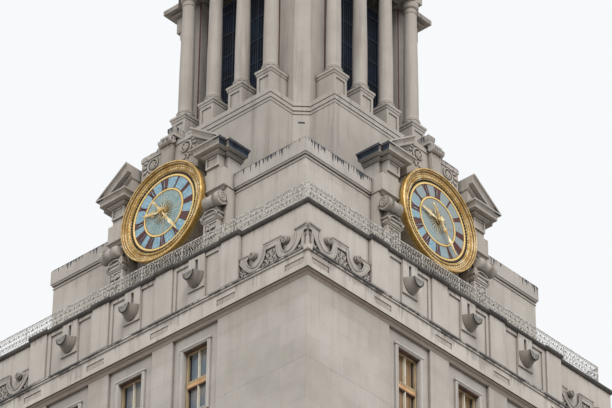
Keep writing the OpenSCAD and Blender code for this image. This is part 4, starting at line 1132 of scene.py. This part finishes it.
def makeConsoleCarving(leaf):
    look = surroundLook
    parts = []
    for side in (-1, 1):
        x, d, z = look["voluteX"], look["voluteD"], look["voluteZ"]
        shares = [i / look["voluteSteps"] for i in range(look["voluteSteps"] + 1)]
        coil = []
        for share in shares:
            r = look["voluteR"] * (1 - look["voluteTaper"] * share ** 0.8)
            a = math.radians(look["voluteStart"]) - 2 * math.pi * look["voluteTurns"] * share
            coil.append((side * (x + look["voluteDrift"] * share), d + r * math.cos(a), z + r * math.sin(a)))
        parts.append(addRod(coil, look["voluteRod"], [1 - 0.5 * share for share in shares]))
        (first, sweep), tip = look["fluteArc"], look["fluteTip"]
        for i in range(look["flutes"]):
            a = math.radians(first + i * sweep / (look["flutes"] - 1))
            for run in look["fluteRuns"]:
                line = [(side * at, d + r * math.cos(a), z + r * math.sin(a)) for at, r in run]
                parts.append(addRod(line, look["fluteRod"], [tip] + [1.0] * (len(run) - 2) + [tip], rings=0))
        middle, d = side * look["dropX"], look["dropD"]
        top, low = look["dropZ"]
        aside, out, down = look["fruitAt"]
        for i in range(look["drops"]):
            z = top - (top - low) * i / look["drops"]
            for turn in look["dropTurns"]:
                parts.append(layLeaf(leaf, middle, d, z, turn, look["dropLeaf"]))
            for k in (-1, 1):
                parts.append(addBall(middle + aside * k, d + out, z - down * (k + 1), look["fruitR"],
                                     look["fruitShares"], look["fruitTurn"]))
        high, d = look["hoodZ"], look["hoodD"]
        parts.append(addRod(arcPoints(middle, high, d, look["hoodHalf"], range(0, 181, 15), look["hoodRise"]),
                            look["hoodRod"]))
        (low, top), (inner, outer) = look["neckZ"], look["neckD"]
        half = look["neckHalf"]
        parts.append(addBlock((middle - half, inner, low), (middle + half, outer, top), look["neckEdge"]))
        aside, down = look["earAt"]
        for k in (-1, 1):
            ear = spiralPoints(middle + k * (look["hoodHalf"] + aside), high - down, d, *look["earR"],
                               math.pi / 2, -look["earTurns"] * k)
            parts.append(addRod(ear, look["earRod"]))
        half, deep, thick = look["friezeHalf"], look["friezeD"], look["friezeHigh"]
        for z in look["friezeZ"]:
            parts.append(addBlock((middle - half, deep - seat, z - thick),
                                  (middle + half, deep + look["friezeOut"], z + thick), look["friezeEdge"]))
    finishOnSides(joinPieces(parts), "console_carving", carvedStone)


# leaves on the wall under the dial, in rows that narrow upwards
foliageLook = {"d": 0.6815, "z": 7.32, "rows": 4, "rowStep": 0.05, "reach": 0.19, "narrow": 0.012,
               "across": 9, "leaves": (0.052, 0.034), "shift": 0.012, "lean": 0.9, "fork": 1.5}


def makeWallFoliage(leaf):
    look = foliageLook
    big, small = look["leaves"]
    shift = look["shift"]
    parts = []
    for row in range(look["rows"]):
        z = look["z"] + row * look["rowStep"]
        reach = look["reach"] - look["narrow"] * row
        for i in range(look["across"]):
            x = -reach + 2 * reach * i / (look["across"] - 1) + (shift if row % 2 else 0)
            lean = look["lean"] * math.sin(i * 1.7 + row * 2.1)
            parts.append(layLeaf(leaf, x, look["d"], z, lean, big))
            parts.append(layLeaf(leaf, x + shift, look["d"], z + shift, lean + look["fork"], small))
    finishOnSides(joinPieces(parts), "wall_foliage", carvedStone)


# a scroll with a flower in its eye on each side of the attic
atticLook = {"x": 0.088, "z": 7.995, "d": 0.7305, "r": (0.036, 0.006), "turns": 1.9, "steps": 14,
             "coilOut": 0.001, "rise": 0.003, "rod": 0.0048, "rodTaper": 0.45,
             "petals": 6, "petal": 0.018, "petalOut": 0.002,
             "leaves": 7, "leaf": 0.024, "leafAway": 0.003, "leafFrom": 0.5, "leafStep": 0.45,
             "tail": [(0.058, 0, -0.075, 0.5), (0.05, 0.001, -0.055, 0.8), (0.024, 0.001, -0.042, 1.0)]}


def makeAtticScrolls(leaf):
    look = atticLook
    x, d, z = look["x"], look["d"], look["z"]
    parts = []
    for side in (-1, 1):
        coil = spiralPoints(side * x, z, d + look["coilOut"], *look["r"], -math.pi / 2,
                            look["turns"] * side, look["steps"], look["rise"])
        tail = [(side * (x + aside), d + out, z + up) for aside, out, up, _ in look["tail"]]
        shares = [share for _, _, _, share in look["tail"]]
        shares += [1 - look["rodTaper"] * i / len(coil) for i in range(len(coil))]
        parts.append(addRod(tail + coil, look["rod"], shares))
        for i in range(look["petals"]):
            turn = 2 * math.pi * i / look["petals"]
            parts.append(layLeaf(leaf, side * x, d + look["petalOut"], z, turn, look["petal"]))
        away = look["r"][0] + look["leafAway"]
        for i in range(look["leaves"]):
            a = side * (look["leafFrom"] + i * look["leafStep"])
            parts.append(layLeaf(leaf, side * x + away * math.sin(a), d, z + away * math.cos(a),
                                 a + look["leafFrom"] * side, look["leaf"]))
    finishOnSides(joinPieces(parts), "attic_scrolls", carvedStone)


def makeSurrounds():
    leaf = addLeaf(0.62)
    makeConsoleCarving(leaf)
    makeWallFoliage(leaf)
    makeAtticScrolls(leaf)
    bpy.data.objects.remove(leaf)


# the scrolls that climb the parapet's corners, with their lines in shares of a length and a height
scrollLook = {
    "x": 0.555, "length": 0.3277, "height": 0.124, "d": 0.8928, "lipR": 0.0032,
    "leafSize": 0.021, "leafIn": 0.0065,
    "lines": [
        [(0.0, 0.7), (0.04, 0.556), (0.07, 0.44), (0.11, 0.33), (0.145, 0.25), (0.186, 0.206),
         (0.23, 0.19), (0.273, 0.204), (0.315, 0.27), (0.348, 0.369), (0.367, 0.48), (0.38, 0.6),
         (0.388, 0.77), (0.388, 0.9)],
        [(0.353, 0.85), (0.351, 0.67), (0.338, 0.57), (0.314, 0.484), (0.288, 0.4), (0.261, 0.347),
         (0.234, 0.33), (0.207, 0.347), (0.172, 0.395), (0.14, 0.465), (0.115, 0.56), (0.1, 0.7)],
        [(0.556, 0.77), (0.561, 0.593), (0.57, 0.47), (0.585, 0.363), (0.608, 0.27), (0.64, 0.194),
         (0.68, 0.14), (0.726, 0.117), (0.78, 0.155), (0.832, 0.242), (0.88, 0.38), (0.918, 0.544),
         (0.94, 0.68)],
        [(0.852, 0.85), (0.85, 0.62), (0.825, 0.48), (0.789, 0.37), (0.757, 0.325), (0.726, 0.31),
         (0.69, 0.34), (0.662, 0.398), (0.64, 0.47), (0.628, 0.565), (0.625, 0.72)],
        [(0.0, 0.865), (0.122, 0.865)],
        [(0.356, 0.985), (0.622, 0.985)],
    ],
    "crests": [([(0.826, 0.965), (0.93, 0.985), (1.004, 1.0)], 0.0042),
               ([(0.842, 0.9), (0.93, 0.915), (1.0, 0.925)], 0.0018)],
    "eyes": [(0.198, 0.774), (0.69, 0.766)], "eyeR": 0.014, "eyeRod": 0.0022, "eyeD": (0.0085, -0.002),
    "eyeCoil": (0.013, 0.003), "eyeTurns": 1.6,
    "archHalf": 0.011, "archRise": 0.013, "archZ": (0.05, 0.072), "archRod": 0.002, "archIn": (0.002, 0.004),
    "foliage": [(0.01, 0.1, 0.02, 0.42, 4, 4), (0.13, 0.26, 0.0, 0.06, 4, 1), (0.32, 0.36, 0.02, 0.3, 2, 3),
                (0.395, 0.54, 0.0, 0.62, 5, 6), (0.57, 0.63, 0.0, 0.12, 3, 2), (0.83, 0.93, 0.0, 0.3, 4, 3)],
}


def makeScrolls():
    look = scrollLook

    def place(at, up):
        return (look["x"] + at * look["length"], look["d"], sillZ + up * look["height"])

    parts = [addRod([place(*p) for p in line], look["lipR"]) for line in look["lines"]]
    for eye in look["eyes"]:
        x, d, z = place(*eye)
        coilD, ringD = [d + out for out in look["eyeD"]]
        coil = spiralPoints(x, z, coilD, *look["eyeCoil"], -math.pi / 2, -look["eyeTurns"])
        parts.append(addRod(coil, look["eyeRod"]))
        ring = arcPoints(x, z, ringD, look["eyeR"], range(0, 360, 24))
        parts.append(addRod(ring, look["eyeRod"], closed=True))
    aside, deep = look["archIn"]
    cornerX, archD = look["x"] + look["length"] - aside, look["d"] - deep
    foot, spring = [sillZ + z for z in look["archZ"]]
    arch = [(cornerX - look["archHalf"], archD, foot)]
    arch += arcPoints(cornerX, spring, archD, -look["archHalf"], range(0, 91, 18), look["archRise"])
    parts.append(addRod(arch, look["archRod"]))
    parts += [addRod([place(*p) for p in line], radius) for line, radius in look["crests"]]
    leaf = addLeaf(0.6)
    for x0, x1, z0, z1, across, up in look["foliage"]:
        for i in range(across):
            for k in range(up):
                along = x0 + (x1 - x0) * (i + 0.5 * (k % 2)) / max(1, across - 0.5)
                x, d, z = place(along, z0 + (z1 - z0) * k / max(1, up - 0.5))
                lean = 0.75 * (-1) ** (i + k) + 0.25 * math.sin(7 * along + 3 * k)
                parts.append(layLeaf(leaf, x, d - look["leafIn"], z, lean, look["leafSize"]))
    half = joinPieces(parts)
    finishOnSides(joinPieces([half, mirrored(half)]), "scroll_carving", scrollStone)
    bpy.data.objects.remove(leaf)


# water spouts: a stone trough that tapers and falls a little to its mouth, with a dark lip and a lead lining
spoutLook = {
    "z": 7.197, "wall": 0.896, "end": 0.9432, "mouth": 0.945, "fall": 0.005, "sides": 32,
    "rim": 0.001, "boreSides": 24, "boreR": 0.0172, "boreFrom": 0.15, "boreFall": 0.7,
    "lineR": 0.0164, "lineFrom": 0.2, "lineIn": 0.001, "lineLow": 0.002,
    "lipHalf": 0.0258, "lipDeep": 0.0338, "lipR": 0.0032, "lipSteps": 15, "lipThin": 0.7,
    "taper": [(0.0, 0.0405, 0.058), (0.14, 0.04, 0.0555), (0.46, 0.0345, 0.0465), (0.8, 0.0262, 0.0352),
              (0.86, 0.0282, 0.038), (1.0, 0.0266, 0.0348)],   # share of the length, half width, depth
}


def cutLevel(z):
    bpy.ops.mesh.bisect(plane_co=(0, 0, z), plane_no=(0, 0, 1), use_fill=True, clear_outer=True)


# a cylinder cut level, drawn out to its stations and bored from its mouth
def addTrough(length, boreZ):
    look = spoutLook
    stations = look["taper"]
    trough = addCylinder(0, 0, 1, -0.5, 0.5, look["sides"])
    openEdit()
    cutLevel(look["rim"])
    for at, _, _ in stations[1:-1]:
        bpy.ops.mesh.select_all(action="SELECT")
        bpy.ops.mesh.bisect(plane_co=(0, 0.5 - at, 0), plane_no=(0, 1, 0))
    closeEdit()
    for point in trough.data.vertices:
        share = 0.5 - point.co.y
        _, half, deep = min(stations, key=lambda station: abs(station[0] - share))
        point.co = (point.co.x * half, -look["wall"] - length * share,
                    look["z"] - look["fall"] * share + min(0, point.co.z) * deep)
    boreD = look["wall"] + length * look["boreFrom"]
    bore = addCylinder(0, boreZ, look["boreR"], boreD, boreD + length, look["boreSides"])
    pickOnly(trough)
    cut = trough.modifiers.new("cut", "BOOLEAN")
    cut.operation = "DIFFERENCE"
    cut.solver = "EXACT"
    cut.object = bore
    bpy.ops.object.modifier_apply(modifier="cut")
    bpy.data.objects.remove(bore)
    trough.data.transform(Matrix.Translation((-windowPitch, 0, 0)))
    return trough


def makeSpouts():
    look = spoutLook
    length = look["end"] - look["wall"]
    boreZ = look["z"] - look["fall"] * look["boreFall"]
    top, steps, thin = look["z"] - look["fall"], look["lipSteps"], look["lipThin"]
    trough = addTrough(length, boreZ)
    lip = arcPoints(-windowPitch, top, look["mouth"] - look["lipR"], look["lipHalf"],
                    range(180, 361, 180 // steps), look["lipDeep"])
    shares = [thin + (1 - thin) * math.sin(math.pi * i / steps) for i in range(steps + 1)]
    lip = addRod(lip, look["lipR"], shares)
    lining = addCylinder(-windowPitch, boreZ, look["lineR"], look["wall"] + length * look["lineFrom"],
                         look["mouth"] - look["lineIn"], look["boreSides"])
    openEdit()
    cutLevel(top - look["lineLow"])
    closeEdit()
    for piece, name, material, slotName in ((trough, "spout_troughs", spoutDirtAndShadeStone, "limestone"),
                                            (lip, "spout_lips", darkLead, "weathered_stone"),
                                            (lining, "spout_linings", paleLead, "weathered_stone")):
        finishOnSides(repeatPiece(piece, 3, (windowPitch, 0, 0)), name, material)
    for side in sideNames:
        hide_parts("water_spouts")


# plain blocks where the cornice turns the tower's corners
cornerLook = {"inner": 0.9, "edge": 0.0012,
              "parts": ((0.9158, 6.9732, 7.041), (0.9245, 7.0405, 7.0635))}   # outer, low, high


def makeCornerBlocks():
    look = cornerLook
    blocks = [addBlock((look["inner"], look["inner"], low), (outer, outer, high), look["edge"])
              for outer, low, high in look["parts"]]
    finishOnSides(joinPieces(blocks), "cornice_corner_blocks", parapetStone)


# slanting reeds in the fascia's sunk panels
reedLook = {"xs": (-0.847, -0.508, -0.168, 0.168, 0.508, 0.847), "z": 7.0075, "width": 0.092, "height": 0.026,
            "d": 0.9101, "reeds": 8, "radius": 0.0028, "slant": 0.014, "endGap": 0.001}


def makeReeds():
    look = reedLook
    d, high, slant = look["d"], look["height"] / 2 - look["endGap"], look["slant"]
    inner = look["width"] - 2 * look["radius"] - slant
    parts = []
    for x in look["xs"]:
        for i in range(look["reeds"]):
            foot = x - look["width"] / 2 + look["radius"] + inner * i / (look["reeds"] - 1)
            low, top = (foot + slant, foot) if x < 0 else (foot, foot + slant)
            reed = [(low, d, look["z"] - high), (top, d, look["z"] + high)]
            parts.append(addRod(reed, look["radius"], rings=0))
    finishOnSides(joinPieces(parts), "fascia_reeds", reedStone)


# belfry: red strips beside the screens, their fine bars, and in each corner of the base a dark plate of
# painted shade that stands for a small vent's opening
belfryLook = {"z": (8.314, 9.104), "stripX": 0.2272, "stripW": 0.0092, "stripD": (0.356, 0.36),
              "stripEdge": 0.0006, "ventEdge": 0.0004,
              "barReach": 0.206, "barD": 0.3205, "barR": 0.0011, "bars": 32,
              "ventAt": 0.3345, "ventZ": 8.212, "ventW": 0.027, "ventH": 0.0085, "ventD": (-0.004, 0.0008)}


def makeBelfry():
    look = belfryLook
    floorZ, beamZ = look["z"]
    half = look["stripW"] / 2
    back, front = look["stripD"]
    strips = [addBlock((x - half, back, floorZ), (x + half, front, beamZ), look["stripEdge"])
              for x in (-look["stripX"], look["stripX"])]
    finishOnSides(joinPieces(strips), "screen_strips", redEnamel)
    reach = look["barReach"]
    bar = addRod([(-reach, look["barD"], floorZ), (-reach, look["barD"], beamZ)], look["barR"], rings=0)
    repeatPiece(bar, look["bars"], (2 * reach / (look["bars"] - 1), 0, 0))
    finishOnSides(bar, "screen_bars", brownBronze)
    back, front = [look["ventAt"] * math.sqrt(2) + d for d in look["ventD"]]
    half, high, z = look["ventW"] / 2, look["ventH"] / 2, look["ventZ"]
    vent = addBlock((-half, back, z - high), (half, front, z + high), look["ventEdge"])
    vent.data.transform(Matrix.Rotation(math.radians(45), 4, "Z"))
    finishOnSides(vent, "base_vent_shade_plates", darkLead)


setCamera()
setStudio()
print("camera and light are set")
finishNodes()
for make in (makeWindows, makeFence, makeDials, makeBezels, makeHands, makeSurrounds, makeScrolls, makeSpouts,
             makeCornerBlocks, makeReeds, makeBelfry):
    make()
